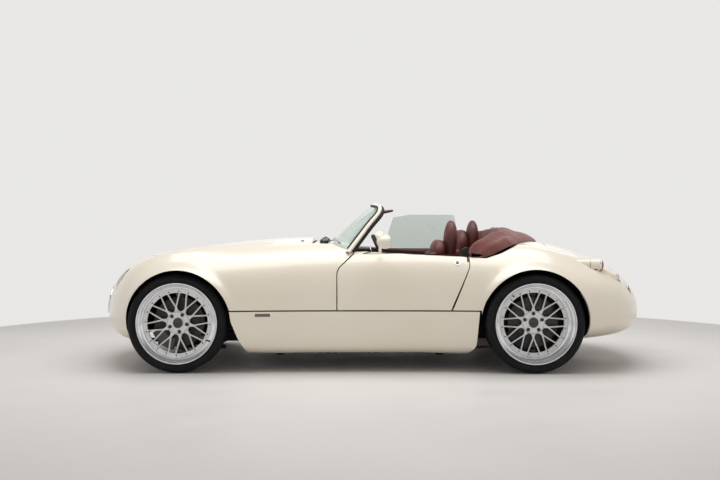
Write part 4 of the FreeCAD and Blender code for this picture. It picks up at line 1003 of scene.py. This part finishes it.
# Cover over the folded top: one curved sheet that ends in a piped edge on the bodywork
# Columns: y, x and z of the front edge, x and z of the ridge
COVER = [
    (-722, 640, 752, 648, 766),
    (-702, 628, 786, 641, 820),
    (-680, 652, 822, 688, 853),
    (-620, 718, 836, 746, 882),
    (-550, 770, 845, 796, 904),
    (-480, 850, 842, 870, 914),
    (-300, 890, 850, 914, 931),
    (0, 905, 850, 938, 937),
]
COVER = COVER + [(-r[0],) + r[1:] for r in reversed(COVER[:-1])]
# Rear edge on the bodywork: x, y
COVER_EDGE = [(1178, 0), (1164, 130), (1108, 250), (1040, 380), (982, 484), (925, 590), (867, 648), (820, 680),
              (774, 706), (715, 722), (650, 724)]


def cover_sheet():
    table = np.array(COVER, float)
    edge = np.array(COVER_EDGE, float)
    ys = np.concatenate([np.linspace(-722, -600, 25), np.linspace(-592, 592, 113), np.linspace(600, 722, 25)])
    columns = [np.interp(ys, table[:, 0], table[:, k]) for k in range(1, 5)]
    kernel = np.exp(-np.linspace(-1.6, 1.6, 9) ** 2)
    kernel /= kernel.sum()
    columns = [np.convolve(np.pad(c, 4, "edge"), kernel, "valid") for c in columns]
    back = np.interp(np.abs(ys), edge[:, 1], edge[:, 0])
    back_z = skin_top(back, ys) + 3.5
    points = []
    for i, y in enumerate(ys):
        xf, zf, xp, zp = [c[i] for c in columns]
        xb, zb = back[i], back_z[i]
        xp = min(xp, xf + 0.45 * (xb - xf))
        rise = min(1.0, (xb - xf) / 200.0)
        corners = [(xf + 3, y, zf - 42 * rise - 3), (xf, y, zf - 5),
                   ((xf + xp) / 2 - 4, y, (zf + zp) / 2 + 4 * rise), (xp, y, zp)]
        for share, puff in ((0.41, 8), (0.69, 22), (0.90, 15), (1.0, 0)):
            corners.append((xp + share * (xb - xp), y, zp + share * (zb - zp) + puff * rise))
        for k, p in enumerate(smooth_path(corners, 64)):
            t = k / 63
            swell_over = math.sin(math.pi * t) ** 1.5 * rise
            fold = 3.2 * math.sin(y * 0.046 + 3.0 * t + 1.2 * math.sin(9 * t)) * swell_over
            fold += 2.4 * math.sin(y * 0.017 - 7.5 * t) * swell_over
            side_fold = max(0.0, 1 - abs(abs(y) - 600) / 110)
            fold += 5.0 * side_fold * math.sin(5.2 * math.pi * t + y * 0.02) * swell_over
            points.append((p[0] / 1000, p[1] / 1000, (p[2] + fold) / 1000))
    return points, grid_faces(len(ys), 64)


cover_points, cover_faces = cover_sheet()
cover = make("top_cover_cloth", cover_points, cover_faces, "cover", "body")
cover_solid = cover.modifiers.new("cloth", "SOLIDIFY")
cover_solid.thickness = 0.003
cover_solid.offset = 1.0
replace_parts(cover, "soft_top_cover")

edge_line = [(x, -y) for x, y in COVER_EDGE[::-1]] + COVER_EDGE[1:]
edge_path = smooth_path([(x, y, 0) for x, y in edge_line], 220)
edge_path[:, 2] = skin_top(edge_path[:, 0], edge_path[:, 1]) + 2.5
piping = Pile()
piping.sweep(edge_path / 1000, round_section(0.0030, 8))
front_line = [(r[1] - 1.0, r[0], r[2]) for r in COVER]
piping.sweep(smooth_path(front_line, 160) / 1000, round_section(0.0034, 8))
piping.make("cover_piping", "cover", "body", "red_cover")


# A chrome snap a side that holds the cover, and the round door handles
snaps = Pile()
x, y, z = edge_path[6] / 1000
for side, _ in SIDES:
    snaps.stud((x + 0.004, -side * abs(y) * 0.992, z + 0.003), (0, -side * 0.5, 0.86), 0.0052, 0.004)
snaps.make("cover_snaps", "chrome", "body", "bright_trim")
HANDLE_PUSH = [(0.0135, 0.000), (0.0135, 0.0062), (0.0124, 0.0076), (0.0060, 0.0084), (TIP, 0.0086)]
HANDLE_PLATE = [(0.0195, -0.002), (0.0195, 0.002), (0.0182, 0.0035), (0.0150, 0.0035), (0.0142, 0.0018)]
HANDLE_GAP = [(0.0143, 0.0019), (0.0134, 0.0014)]
for side, side_name in SIDES:
    point, normal = hit("door_" + side_name, (0.546, side * 1.2, 0.715), (0, -side, 0))
    for name, profile, look, slot in (("handle_push_", HANDLE_PUSH, "steel", "bright_trim"),
                                      ("handle_", HANDLE_PLATE, "chrome", "bright_trim"),
                                      ("handle_gap_", HANDLE_GAP, "black", "black_trim")):
        lathed(name + side_name, profile, 40, point, normal, look, "door_" + side_name[0], slot)

# Tail-lamp pods: a fairing that grows out of the skin, and a bright rim round each lens
FAIRING_LENGTH = 0.158
FAIRING_ROWS = 30
# Lenses: x, y, z, radius
PODS = [(1.500, 0.620, 0.694, 0.039), (1.612, 0.592, 0.608, 0.037), (1.694, 0.548, 0.520, 0.034)]
for side, side_name in SIDES:
    fairings = Pile()
    rims = Pile()
    for px, py, pz, pr in PODS:
        end_x = px + 0.006
        at_x = np.array([(end_x - FAIRING_LENGTH) * 1000])
        at_y = np.array([py * 1000])
        at_z = skin_top(at_x, at_y)
        way = unit(gradient(skin_field, at_x, at_y, at_z))[0]
        first_radius = 0.62 * pr
        first_y = py - way[1] * (first_radius + 0.004)
        first_z = at_z[0] / 1000 - way[2] * (first_radius + 0.004)
        points = []
        for k in range(FAIRING_ROWS):
            t = k / (FAIRING_ROWS - 1)
            grow = t * t * (3 - 2 * t)
            radius = first_radius + (pr + 0.0012 - first_radius) * grow
            y = first_y + (py - first_y) * grow
            z = first_z + (pz - first_z) * grow
            for c, q in circle(10):
                points.append((end_x - FAIRING_LENGTH * (1 - t), side * (y + radius * c), z + radius * q))
        fairings.add(points, grid_faces(FAIRING_ROWS, 36, round_columns=True))
        ring = [(pr + 0.0013, -0.001), (pr + 0.0015, 0.002), (pr + 0.0005, 0.0035), (pr - 0.0022, 0.0040),
                (pr - 0.0028, 0.0015)]
        rims.lathe(ring, 48, (px + 0.004, side * py, pz), (1, 0, 0))
    fairings.make("lamp_fairings_" + side_name, "paint", "body", "cream_paint")
    rims.make("lamp_rims_" + side_name, "chrome", "body", "bright_trim")

# Bare badge strip on the sill behind the front wheel
for side, side_name in SIDES:
    rows = []
    for i in range(21):
        for j in range(7):
            x = -0.772 + 0.098 * i / 20
            z = 0.366 + 0.020 * j / 6
            point, normal = hit("sills", (x, side * 1.2, z), (0, -side, 0))
            inner = 0 < i < 20 and 0 < j < 6
            rows.append(point + normal * (0.0022 if inner else 0.0002))
    make("sill_badge_" + side_name, rows, sided(grid_faces(21, 7), side < 0), "bronze", "body")

# Door cards, top bands, armrests, pulls and belt seals
CARD_LOW, CARD_HIGH = 0.425, 0.770
CARD_COLUMNS, CARD_ROWS = 60, 36
CAP_COLUMNS, CAP_ROWS = 46, 9
CAP_OUTER, CAP_WIDTH = 0.7185, 0.0300


def slot_cap():
    """The near door's window is down: a painted cap over its slot, from the outer edge inward."""
    cap = []
    for x in np.linspace(-0.150, 0.600, CAP_COLUMNS):
        low_z = hit("door_left", (x, -CAP_OUTER, 1.2), DOWN)[0].z - 0.0008
        high_z = hit("door_left", (x, CAP_WIDTH - CAP_OUTER, 1.2), DOWN)[0].z + 0.0010
        for k in range(CAP_ROWS):
            t = k / (CAP_ROWS - 1)
            crown = 0.0022 * math.sin(math.pi * t)
            cap.append((x, CAP_WIDTH * t - CAP_OUTER, low_z + (high_z - low_z) * t + crown))
    return cap


for side, side_name in SIDES:
    body = "door_" + side_name[0]
    card = []
    for i in range(CARD_COLUMNS):
        for j in range(CARD_ROWS):
            s, t = i / (CARD_COLUMNS - 1), j / (CARD_ROWS - 1)
            x = -0.205 + 0.790 * s
            z = CARD_LOW + (CARD_HIGH - CARD_LOW) * t
            edge = min(1.0, min(s, 1 - s) * 20) * min(1.0, min(t, 1 - t) * 12)
            pocket = 0.010 if 0.16 < t < 0.36 and 0.10 < s < 0.80 else 0.0
            stitch = 0.0018 if abs(t - 0.62) < 0.016 else 0.0
            card.append((x, side * (0.6645 - 0.0105 * math.sqrt(edge) - pocket + stitch), z))
    card_faces = sided(grid_faces(CARD_COLUMNS, CARD_ROWS), side > 0)
    make("door_card_" + side_name, card, card_faces, "red_leather", body)
    band = Pile()
    door_top = [hit("door_" + side_name, (x, side * 0.676, 1.2), DOWN)[0]
                for x in np.linspace(-0.200, 0.585, 6)]
    line = smooth_path([(p.x, side * 0.664, p.z - 0.020) for p in door_top], 60)
    band.sweep(line, [(-0.022, -0.020), (-0.016, 0.006), (-0.004, 0.012), (0.010, 0.012), (0.018, 0.006),
                      (0.018, -0.010)])
    band.make("door_top_band_" + side_name, "dark_red", body, "red_leather")
    padded("door_armrest_" + side_name, [(-0.050, 0.628), (0.10, 0.640), (0.26, 0.640), (0.400, 0.628)],
           steady(0.026), steady(0.036), side * 0.634, "dark_red", body, rows=40, around=28, power=3.0)
    pull = Pile()
    pull.stud((-0.090, side * 0.654, 0.690), (0, -side, 0), 0.020, 0.006)
    grip = [(-0.090, side * 0.646, 0.690), (-0.060, side * 0.643, 0.690), (-0.020, side * 0.646, 0.688)]
    pull.tube(grip, 12, 0.0055)
    pull.make("door_pull_" + side_name, "chrome", body, "bright_trim")
    if side < 0:
        make("door_cap_left", slot_cap(), grid_faces(CAP_COLUMNS, CAP_ROWS), "paint", body)
    seal = Pile()
    seal_y, seal_up = (-0.6860, 0.0005) if side < 0 else (0.7125, -0.0200)
    line = smooth_path([(p.x, seal_y, p.z + seal_up) for p in door_top], 60)
    seal.sweep(line, round_section(0.0045, 10, 0.6))
    seal.make("belt_seal_" + side_name, "seal", body, "black_trim")

# Ends of the folded roof frame, behind the doors
FLAP = [(0.572, 0.735), (0.576, 0.768), (0.587, 0.794), (0.604, 0.808), (0.624, 0.811), (0.640, 0.805),
        (0.641, 0.735)]
first_flap = None
for side, side_name in SIDES:
    arch = smooth_path([(x, 0, z) for x, z in FLAP[:6]], 28)
    outline = [(p[0], p[2]) for p in arch] + [FLAP[6]]
    count = len(outline)
    points = []
    for y, inset in ((0.577, 0.0025), (0.5795, 0.0), (0.606, 0.0), (0.6085, 0.0025)):
        for x, z in outline:
            points.append((x + (0.608 - x) * inset * 12, side * y, z - inset * (1 if z > 0.75 else 0)))
    flap = Pile()
    ends = [tuple(range(count))[::-1], tuple(3 * count + i for i in range(count))]
    flap.add(points, grid_faces(4, count, round_columns=True) + ends)
    bow = smooth_path([(0.650, side * 0.592, 0.800), (0.690, side * 0.600, 0.806),
                       (0.730, side * 0.590, 0.790)], 12)
    flap.sweep(bow, round_section(0.008, 10))
    flap.side_block(side, (0.580, 0.580, 0.700), (0.635, 0.618, 0.742), 0.003)
    obj = flap.make("roof_flap_" + side_name, "black", "body", "black_trim")
    first_flap = first_flap or obj
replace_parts(first_flap, "roof_frame")

# Windscreen: painted hoop, glass, rubber on both edges of the hoop, visors, cabin mirror
HOOP = [(-0.172, -0.684, 0.778), (-0.100, -0.630, 0.872), (-0.028, -0.575, 0.966), (0.029, -0.534, 1.033),
        (0.0430, -0.503, 1.064), (0.041, -0.460, 1.083), (0.030, -0.400, 1.091), (0.016, -0.280, 1.096),
        (0.008, -0.140, 1.099), (0.005, 0.000, 1.100)]
CROWN = 1.100
HOOP_COUNT = 240
STRIP_START = 4
hoop_line = smooth_path(HOOP + [(x, -y, z) for x, y, z in reversed(HOOP[:-1])], HOOP_COUNT)
along = unit(np.gradient(hoop_line, axis=0))
facing = np.stack([np.full(HOOP_COUNT, -0.80), 0.70 * hoop_line[:, 1], np.full(HOOP_COUNT, 0.55)], 1)
outward = unit(np.cross(along, facing))
forward = np.cross(outward, along)
half_wide = 0.0125 + 0.0095 * np.clip((CROWN - hoop_line[:, 2]) / 0.20, 0, 1)
hoop = Pile()
hoop_points = []
for k in range(HOOP_COUNT):
    for c, q in circle(20):
        across = outward[k] * half_wide[k] * squared(c, 0.8)
        hoop_points.append(hoop_line[k] + across + forward[k] * 0.011 * squared(q, 0.8))
hoop.add(hoop_points, grid_faces(HOOP_COUNT, 18, round_columns=True))
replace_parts(hoop.make("screen_hoop", "paint", "body", "cream_paint", crease=0), "windscreen_frame")
PANE_ROWS = 40
PANE_COLUMNS = 28


def screen_foot(s):
    """Lower edge of the glass, s across from -1 to 1."""
    return np.array([-0.284 + 0.118 * s * s, 0.650 * s, 0.838 - 0.038 * s * s])


def screen_out(s):
    out = np.array([-0.80, 0.30 * s, 0.58])
    return out / np.linalg.norm(out)


inner_line = hoop_line - outward * 0.006
share = np.linspace(0.07, 0.93, PANE_ROWS)
upper = np.stack([np.interp(share, np.linspace(0, 1, HOOP_COUNT), inner_line[:, k]) for k in range(3)], 1)
pane = Pile()
for shell in (0.0, 0.005):
    points = []
    for i in range(PANE_ROWS):
        s = -1 + 2 * i / (PANE_ROWS - 1)
        foot = screen_foot(s)
        for j in range(PANE_COLUMNS):
            t = j / (PANE_COLUMNS - 1)
            bow = 0.012 * math.sin(math.pi * t) * (1 - s * s)
            points.append(foot + (upper[i] - foot) * t + screen_out(s) * (bow + shell))
    pane.add(points, grid_faces(PANE_ROWS, PANE_COLUMNS))
shell_size = PANE_ROWS * PANE_COLUMNS
edge_ids = []
for start in (0, PANE_COLUMNS - 1):
    edge_ids += [(start + i * PANE_COLUMNS, start + (i + 1) * PANE_COLUMNS) for i in range(PANE_ROWS - 1)]
for start in (0, shell_size - PANE_COLUMNS):
    edge_ids += [(start + j, start + j + 1) for j in range(PANE_COLUMNS - 1)]
pane.faces.extend([(a, b, b + shell_size, a + shell_size) for a, b in edge_ids])
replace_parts(pane.make("screen_glass", "glass", "body", "window_glass"), "windscreen_glass")


def hoop_strip(name, across, out, width, depth):
    """A rubber strip that runs round the hoop, set off from its middle line."""
    line = hoop_line + outward * (across * half_wide)[:, None] + forward * out
    points = []
    for k in range(STRIP_START, HOOP_COUNT - STRIP_START):
        for a, b in circle(36):
            points.append(line[k] + outward[k] * a * width + forward[k] * b * depth)
    strip = Pile()
    strip.add(points, grid_faces(HOOP_COUNT - 2 * STRIP_START, 10, round_columns=True))
    strip.make(name, "seal", "body", "black_trim", crease=0)


hoop_strip("screen_seal_front", -0.90, 0.0100, 0.0065, 0.0070)
hoop_strip("screen_seal_rear", 0.30, -0.0210, 0.0105, 0.0145)
for side, side_name in SIDES:
    padded("visor_" + side_name, [(0.052, 1.049), (0.080, 1.051), (0.110, 1.055), (0.140, 1.060)],
           steady(0.155), lambda s: 0.026 - 0.010 * s, side * 0.262, "red_leather", "body", rows=26, around=48,
           power=3.2)
    arms = Pile()
    for y in (0.15, 0.37):
        top = (0.010, 1.090) if y < 0.3 else (0.026, 1.084)
        arms.tube([(top[0], side * y, top[1]), (0.040, side * y, 1.070), (0.058, side * y, 1.052)], 10, 0.0035)
    arms.make("visor_arms_" + side_name, "black", "body", "black_trim")
mirror_body = Pile()
mirror_body.add(*pillow([(0.040, 1.010), (0.044, 1.030), (0.046, 1.050), (0.044, 1.068)], steady(0.105),
                        steady(0.026), 0.0, rows=24, around=48, power=3.2))
mirror_body.tube([(0.004, 0, 1.092), (0.018, 0, 1.074), (0.034, 0, 1.046)], 14, 0.0055)
mirror_body.make("cabin_mirror", "black", "body", "black_trim")
pane = [(0.0597, y, z) for y in np.linspace(-0.094, 0.094, 13) for z in np.linspace(1.021, 1.059, 5)]
make("cabin_mirror_glass", pane, grid_faces(13, 5), "mirror", "body")

# Door mirror glass
for side, side_name in SIDES:
    face = Pile()
    rim = [(1.0, -0.0010), (0.985, 0.0008), (0.94, 0.0012), (0.5, 0.0010), (0.01, 0.0010)]
    points = []
    for k in range(40):
        a = 2 * math.pi * k / 40
        c, q = squared(math.cos(a), 0.72), squared(math.sin(a), 0.72)
        for share, lift_off in rim:
            points.append((0.1000 + lift_off, side * (0.872 + 0.0575 * c * share), 0.855 + 0.0335 * q * share))
    face.add(points, grid_faces(40, len(rim), round_rows=True))
    face.make("door_mirror_glass_" + side_name, "mirror", "door_" + side_name[0], "bright_trim")


# Wipers: spindle caps, arms and blades
def on_screen(s, t, off):
    """A place on the windscreen: s across from -1 to 1, t up from 0 to 1, off outward."""
    foot = screen_foot(s)
    head = np.array([-0.024 + 0.060 * s * s, 0.490 * s, 1.143 - 0.040 * abs(s) ** 3])
    return foot + t * (head - foot) + screen_out(s) * (0.005 + off)


def flat_bar(half, thick, top=None):
    """Section of a flat bar, narrower at its top where top is given."""
    top = top or half
    return [(-half, -thick), (half, -thick), (top, thick), (-top, thick)]


SCREEN_OUT = (-0.8, 0, 0.58)
RUBBER = [(-0.0015, -0.003), (0.0015, -0.003), (0.003, 0.001), (0.004, 0.003), (-0.004, 0.003), (-0.003, 0.001)]
SPINDLE_CAP = [(0.0300, -0.0300), (0.0300, -0.0060), (0.0255, 0.0015), (0.0165, 0.0085), (0.0080, 0.0125),
               (0.0003, 0.0135)]
SPINDLE_NUT = [(0.0075, 0.0100), (0.0075, 0.0150), (0.0060, 0.0165), (0.0003, 0.0168)]
first_wiper = None
for k, (first, last, pivot_y) in enumerate(((-0.70, -0.04, -0.330), (-0.06, 0.62, 0.060))):
    def on_blade(s, t, off):
        return on_screen(s, t + 0.02 * math.sin(math.pi * (s - first) / (last - first)), off)

    blade = Pile()
    rubber = [on_blade(s, 0.030, 0.003) for s in np.linspace(first, last, 30)]
    blade.sweep(np.array(rubber), RUBBER, SCREEN_OUT)
    spine = [on_blade(s, 0.034, 0.008) for s in np.linspace(first + 0.04, last - 0.04, 24)]
    blade.sweep(np.array(spine), flat_bar(0.004, 0.002), SCREEN_OUT)
    middle = on_screen((first + last) / 2 + 0.10, 0.030, 0.008)
    start = np.array([-0.345, pivot_y, 0.846])
    arm = smooth_path([start, (start + middle) / 2 + np.array([0, 0, -0.004]), middle], 16)
    blade.sweep(arm, flat_bar(0.005, 0.0025, 0.004))
    for profile, segments in ((SPINDLE_CAP, 32), (SPINDLE_NUT, 16)):
        blade.lathe(profile, segments, (-0.342, pivot_y, 0.856), (-0.10, 0, 0.99))
    wiper = blade.make(f"wiper_blade_{k}", "gloss_black", "body", "black_trim", crease=30)
    first_wiper = first_wiper or wiper
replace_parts(first_wiper, "wipers")

# Washer jets on the bonnet
jets = Pile()
for side, _ in SIDES:
    spot = hit("bonnet", (-0.484, side * 0.42, 1.2), DOWN)[0]
    jets.block(spot + Vector((-0.011, -0.007, -0.002)), spot + Vector((0.011, 0.007, 0.006)), 0.003)
jets.make("washer_jets", "black", "bonnet", "black_trim")

# Grille surround, and the radiator behind the bars
ring_line = []
for k in range(72):
    a = 2 * math.pi * k / 72
    point, _ = hit("front_body", (-2.3, 0.2925 * math.cos(a), 0.432 + 0.1195 * math.sin(a)), (1, 0, 0))
    ring_line.append((point.x - 0.0015, point.y, point.z))
surround = Pile()
surround.sweep(np.array(ring_line), round_section(0.0062, 10), up=(1, 0, 0), closed=True)
surround.make("grille_surround", "chrome", "body", "bright_trim")
radiator = Pile()
radiator.block((-1.632, -0.262, 0.280), (-1.604, 0.262, 0.496), 0.004)
for k in range(24):
    z = 0.285 + 0.0088 * k
    radiator.block((-1.638, -0.255, z), (-1.630, 0.255, z + 0.0034), 0.0008)
radiator.make("radiator", "dark_steel", "body", "steel")

# Silencer under the boot floor
silencer = Pile()
section = [(TIP, 0.0), (0.040, 0.0), (0.060, 0.012), (0.066, 0.030), (0.066, 0.250), (0.0675, 0.254),
           (0.0675, 0.546), (0.066, 0.550), (0.066, 0.770), (0.060, 0.788), (0.040, 0.800), (TIP, 0.800)]
silencer.lathe(section, 40, (1.372, -0.400, 0.272), (0, 1, 0))
for y in (-0.370, -0.300, 0.300, 0.370):
    silencer.tube([(1.400, y, 0.266), (1.460, y, PIPE_Z), (1.520, y, PIPE_Z)], 10, 0.027, 16)
silencer.make("silencer", "steel", "body", "steel")

# Splash shields behind the rear discs
SHIELD = [(0.060, -0.0010), (0.212, -0.0010), (0.215, 0.0060), (0.212, 0.0015), (0.060, 0.0015)]
for side, side_name in SIDES:
    lathed("splash_shield_" + side_name, SHIELD, 56, (AXLES["rear"], side * 0.652, AXLE_Z), (0, side, 0),
           "underbody", "body", "black_trim", closed=True)

# Lamps inside the headlamp bowls
LAMP_SHELL = [(0.034, -0.046), (0.036, -0.010), (0.036, 0.000), (0.042, 0.002), (0.047, -0.006),
              (0.052, -0.026), (0.054, -0.046)]
LAMP_EYE = [(0.0352, -0.003), (0.0335, 0.004), (0.028, 0.0105), (0.018, 0.0155), (0.008, 0.0178), (TIP, 0.0184)]
for side, side_name in SIDES:
    for name, profile, look, slot in (("projector_", LAMP_SHELL, "chrome", "bright_trim"),
                                      ("projector_lens_", LAMP_EYE, "clear_lamp", "lamp_glass")):
        lathed(name + side_name, profile, 48, (-1.668, side * 0.505, 0.566), (-1, 0, 0), look, "body", slot)

# Engine covers, caps and hoses
engine = Pile()
for side, _ in SIDES:
    engine.side_block(side, (-1.035, 0.045, 0.690), (-0.530, 0.205, 0.707), 0.006)
    for k in range(5):
        y = side * (0.068 + 0.028 * k)
        engine.block((-1.020, y - 0.004, 0.704), (-0.545, y + 0.004, 0.7105), 0.0025)
    for k in range(6):
        for y in (0.054, 0.196):
            engine.stud((-1.022 + 0.0955 * k, side * y, 0.706), UP, 0.006, 0.0045)
engine.block((-0.980, -0.036, 0.690), (-0.600, 0.036, 0.709), 0.008)
engine.make("engine_covers", "cast", "body", "cast_metal")
hoses = Pile()
UPPER_HOSE = [(-1.050, -0.110, 0.620), (-1.220, -0.115, 0.628), (-1.440, -0.120, 0.570),
              (-1.610, -0.120, 0.470)]
LOWER_HOSE = [(-1.050, 0.130, 0.450), (-1.240, 0.135, 0.590), (-1.440, 0.140, 0.540), (-1.610, 0.140, 0.320)]
for corners in (UPPER_HOSE, LOWER_HOSE):
    hoses.tube(corners, 40, 0.019, 14)
hoses.stud((-0.640, -0.120, 0.707), UP, 0.021, 0.007)
hoses.make("engine_hoses", "black", "body", "black_trim")

# Carpets, tunnel cover, gear lever, handbrake and pedals
GEAR_LEVER = (-0.020, 0, 0.366)
GAITER = [(0.040, -0.002), (0.037, 0.008), (0.029, 0.018), (0.031, 0.022), (0.021, 0.034), (0.022, 0.038),
          (0.011, 0.052)]
KNOB = [(0.022, 0.082), (0.0255, 0.094), (0.024, 0.106), (0.016, 0.114), (TIP, 0.1165)]
HANDBRAKE = [(0.300, -0.045, 0.368), (0.240, -0.045, 0.392), (0.150, -0.045, 0.424), (0.110, -0.045, 0.438)]
PEDALS_Y = (-0.445, -0.350, -0.255)
PEDAL_LEAN = -18
carpets = Pile()
for side, _ in SIDES:
    carpets.side_block(side, (-0.435, 0.126, FLOOR_Z), (0.824, 0.590, 0.1490), 0.003)
carpets.block((-0.435, -0.1215, FLOOR_Z), (0.824, 0.1215, 0.3500), 0.012)
carpets.block((-0.4405, -0.585, FLOOR_Z), (-0.4345, 0.585, 0.570), 0.0025)
carpets.block((0.824, -0.585, FLOOR_Z), (0.8295, 0.585, 0.620), 0.0025)
carpets.make("cabin_carpet", "carpet", "body", "red_leather")
boot_carpet = Pile()
boot_carpet.block((0.856, -0.490, 0.4845), (1.604, 0.490, 0.4900), 0.0025)
boot_carpet.make("boot_carpet", "carpet_black", "body", "black_trim")
tunnel = Pile()
tunnel.block((-0.400, -0.078, 0.345), (0.330, 0.078, 0.366), 0.009)
tunnel.lathe(GAITER, 36, GEAR_LEVER, UP)
tunnel.lathe(KNOB, 32, GEAR_LEVER, UP)
tunnel.tube(HANDBRAKE, 20, 0.0125, 14)
tunnel.make("tunnel_cover", "black_leather", "body", "black_trim")
controls = Pile()
controls.lathe([(0.0052, 0.045), (0.0052, 0.086), (0.012, 0.088), (0.014, 0.084)], 20, GEAR_LEVER, UP)
for y in PEDALS_Y:
    shapes = [block((-0.372, y - 0.030, 0.215), (-0.362, y + 0.030, 0.285), 0.003)]
    for k in range(4):
        rib_low, rib_high = 0.226 + 0.014 * k, 0.231 + 0.014 * k
        shapes.append(block((-0.363, y - 0.024, rib_low), (-0.3595, y + 0.024, rib_high), 0.001))
    for points, faces in shapes:
        controls.add(turned(points, (-0.367, y, 0.250), (0, 1, 0), PEDAL_LEAN), faces)
    controls.tube([(-0.372, y, 0.262), (-0.395, y, 0.350), (-0.425, y, 0.470)], 14, 0.0065, 8)
controls.make("pedals_and_lever", "steel", "body", "steel")


# Instruments in the dash
def bar(pile, foot, head, foot_half, head_half):
    """A flat mark, seen from both sides."""
    corners = [foot - foot_half, foot + foot_half, head + head_half, head - head_half]
    pile.add(corners, [(0, 1, 2, 3), (3, 2, 1, 0)])


faces_of_dials = Pile()
bezels = Pile()
marks = Pile()
# Dials: y, z, radius
DIALS = [(-0.412, 0.768, 0.0430), (-0.290, 0.768, 0.0430), (-0.078, 0.7175, 0.0270), (0.000, 0.7175, 0.0270),
         (0.078, 0.7175, 0.0270)]
for y, z, radius in DIALS:
    near, way = hit("dashboard", (0.30, y, z), (-1, 0, 0))
    spot = near + way * 0.0004
    faces_of_dials.lathe([(radius - 0.002, 0.0012), (TIP, 0.0012)], 48, spot, way)
    rim = [(radius - 0.003, 0.0012), (radius - 0.002, 0.0044), (radius + 0.001, 0.0054),
           (radius + 0.0032, 0.0034), (radius + 0.0036, -0.001)]
    bezels.lathe(rim, 48, spot, way)
    across = Vector((0, 1, 0))
    upward = way.cross(across).normalized()
    if upward.z < 0:
        upward = -upward
    for k in range(28):
        a = math.radians(-50 + 280 * k / 27)
        out = across * math.cos(a) + upward * math.sin(a)
        aside = across * -math.sin(a) + upward * math.cos(a)
        low_end = radius * (0.70 if k % 3 == 0 else 0.80)
        width = 0.0006 if k % 3 == 0 else 0.0003
        raised = spot + way * 0.0018
        bar(marks, raised + out * low_end, raised + out * radius * 0.88, aside * width, aside * width)
    out = across * math.cos(math.radians(200)) + upward * math.sin(math.radians(200))
    aside = out.cross(way)
    raised = spot + way * 0.0024
    bar(marks, raised - out * radius * 0.12, raised + out * radius * 0.74, aside * 0.0010, aside * 0.0004)
faces_of_dials.make("dial_faces", "dial", "body", "black_trim")
bezels.make("dial_rims", "chrome", "body", "bright_trim")
marks.make("dial_marks", "dial_white", "body", "bright_trim", smooth=False)
vents = Pile()
for y in (-0.535, 0.175, 0.535):
    near, way = hit("dashboard", (0.30, y, 0.7175), (-1, 0, 0))
    for radius in (0.010, 0.017, 0.024, 0.031):
        profile = [(radius - 0.0022, -0.0005), (radius - 0.0016, 0.0030), (radius + 0.0016, 0.0030),
                   (radius + 0.0022, -0.0005)]
        vents.lathe(profile, 40, near, way)
vents.make("dash_vents", "gloss_black", "body", "black_trim")

# Floor, light and camera
FLOOR_RADIUS = 4.0
FLOOR_SIDES = 180
CAMERA_PLACE = (-0.091, -7.33, 0.994)
CAMERA_DROP = 1.14
CAMERA_LENS = 50.35
SENSOR_WIDTH = 36.0
WORLD_LIGHT = 0.92
floor = bpy.data.meshes.new("floor")
floor_rim = [(FLOOR_RADIUS * c, FLOOR_RADIUS * q, 0) for c, q in circle(360 // FLOOR_SIDES)]
floor.from_pydata(floor_rim, [], [tuple(range(FLOOR_SIDES))])
floor_obj = put("floor", floor)
floor_look = Shader("floor_pale")
floor_look.colour(tone(226, 222, 219), tone(222, 218, 215), floor_look.noise(0.8, 3))
floor_look.rough(0.45, 0.6, floor_look.noise(3, 3))
floor_look.bump(floor_look.noise(60, 3), 0.0003, 0.2)
floor.materials.append(floor_look.material)

world = bpy.data.worlds.new("studio")
bpy.context.scene.world = world
world.use_nodes = True
sky = world.node_tree
backdrop = sky.nodes["Background"]
sky_place = sky.nodes.new("ShaderNodeTexCoord")
sky_split = sky.nodes.new("ShaderNodeSeparateXYZ")
sky_height = sky.nodes.new("ShaderNodeMapRange")
sky_mix = sky.nodes.new("ShaderNodeMix")
sky_mix.data_type = "RGBA"
sky_height.inputs["From Min"].default_value = 0.22
sky_height.inputs["From Max"].default_value = 0.60
sky_mix.inputs["A"].default_value = tone(241, 240, 238)
sky_mix.inputs["B"].default_value = tone(150, 149, 147)
sky.links.new(sky_place.outputs["Generated"], sky_split.inputs["Vector"])
sky.links.new(sky_split.outputs["Z"], sky_height.inputs["Value"])
sky.links.new(sky_height.outputs["Result"], sky_mix.inputs["Factor"])
sky.links.new(sky_mix.outputs["Result"], backdrop.inputs["Color"])
backdrop.inputs["Strength"].default_value = WORLD_LIGHT


def area_light(name, place, target, width, height, power):
    data = bpy.data.lights.new(name, "AREA")
    data.shape = "RECTANGLE"
    data.size = width
    data.size_y = height
    data.energy = power
    obj = put(name, data)
    obj.location = place
    way = Vector(target) - Vector(place)
    obj.rotation_euler = way.to_track_quat("-Z", "Y").to_euler()


area_light("ceiling", (0.0, -0.2, 4.2), (0, -0.2, 0), 5.5, 3.6, 190)
area_light("far_side", (1.0, 6.0, 3.4), (0, 0, 0.5), 5.0, 2.5, 25)

bpy.context.scene.view_settings.view_transform = "Standard"
camera_data = bpy.data.cameras.new("camera")
camera_data.lens = CAMERA_LENS
camera_data.sensor_width = SENSOR_WIDTH
camera = put("camera", camera_data)
camera.location = CAMERA_PLACE
camera.rotation_euler = (math.radians(90 - CAMERA_DROP), 0, 0)
bpy.context.scene.camera = camera
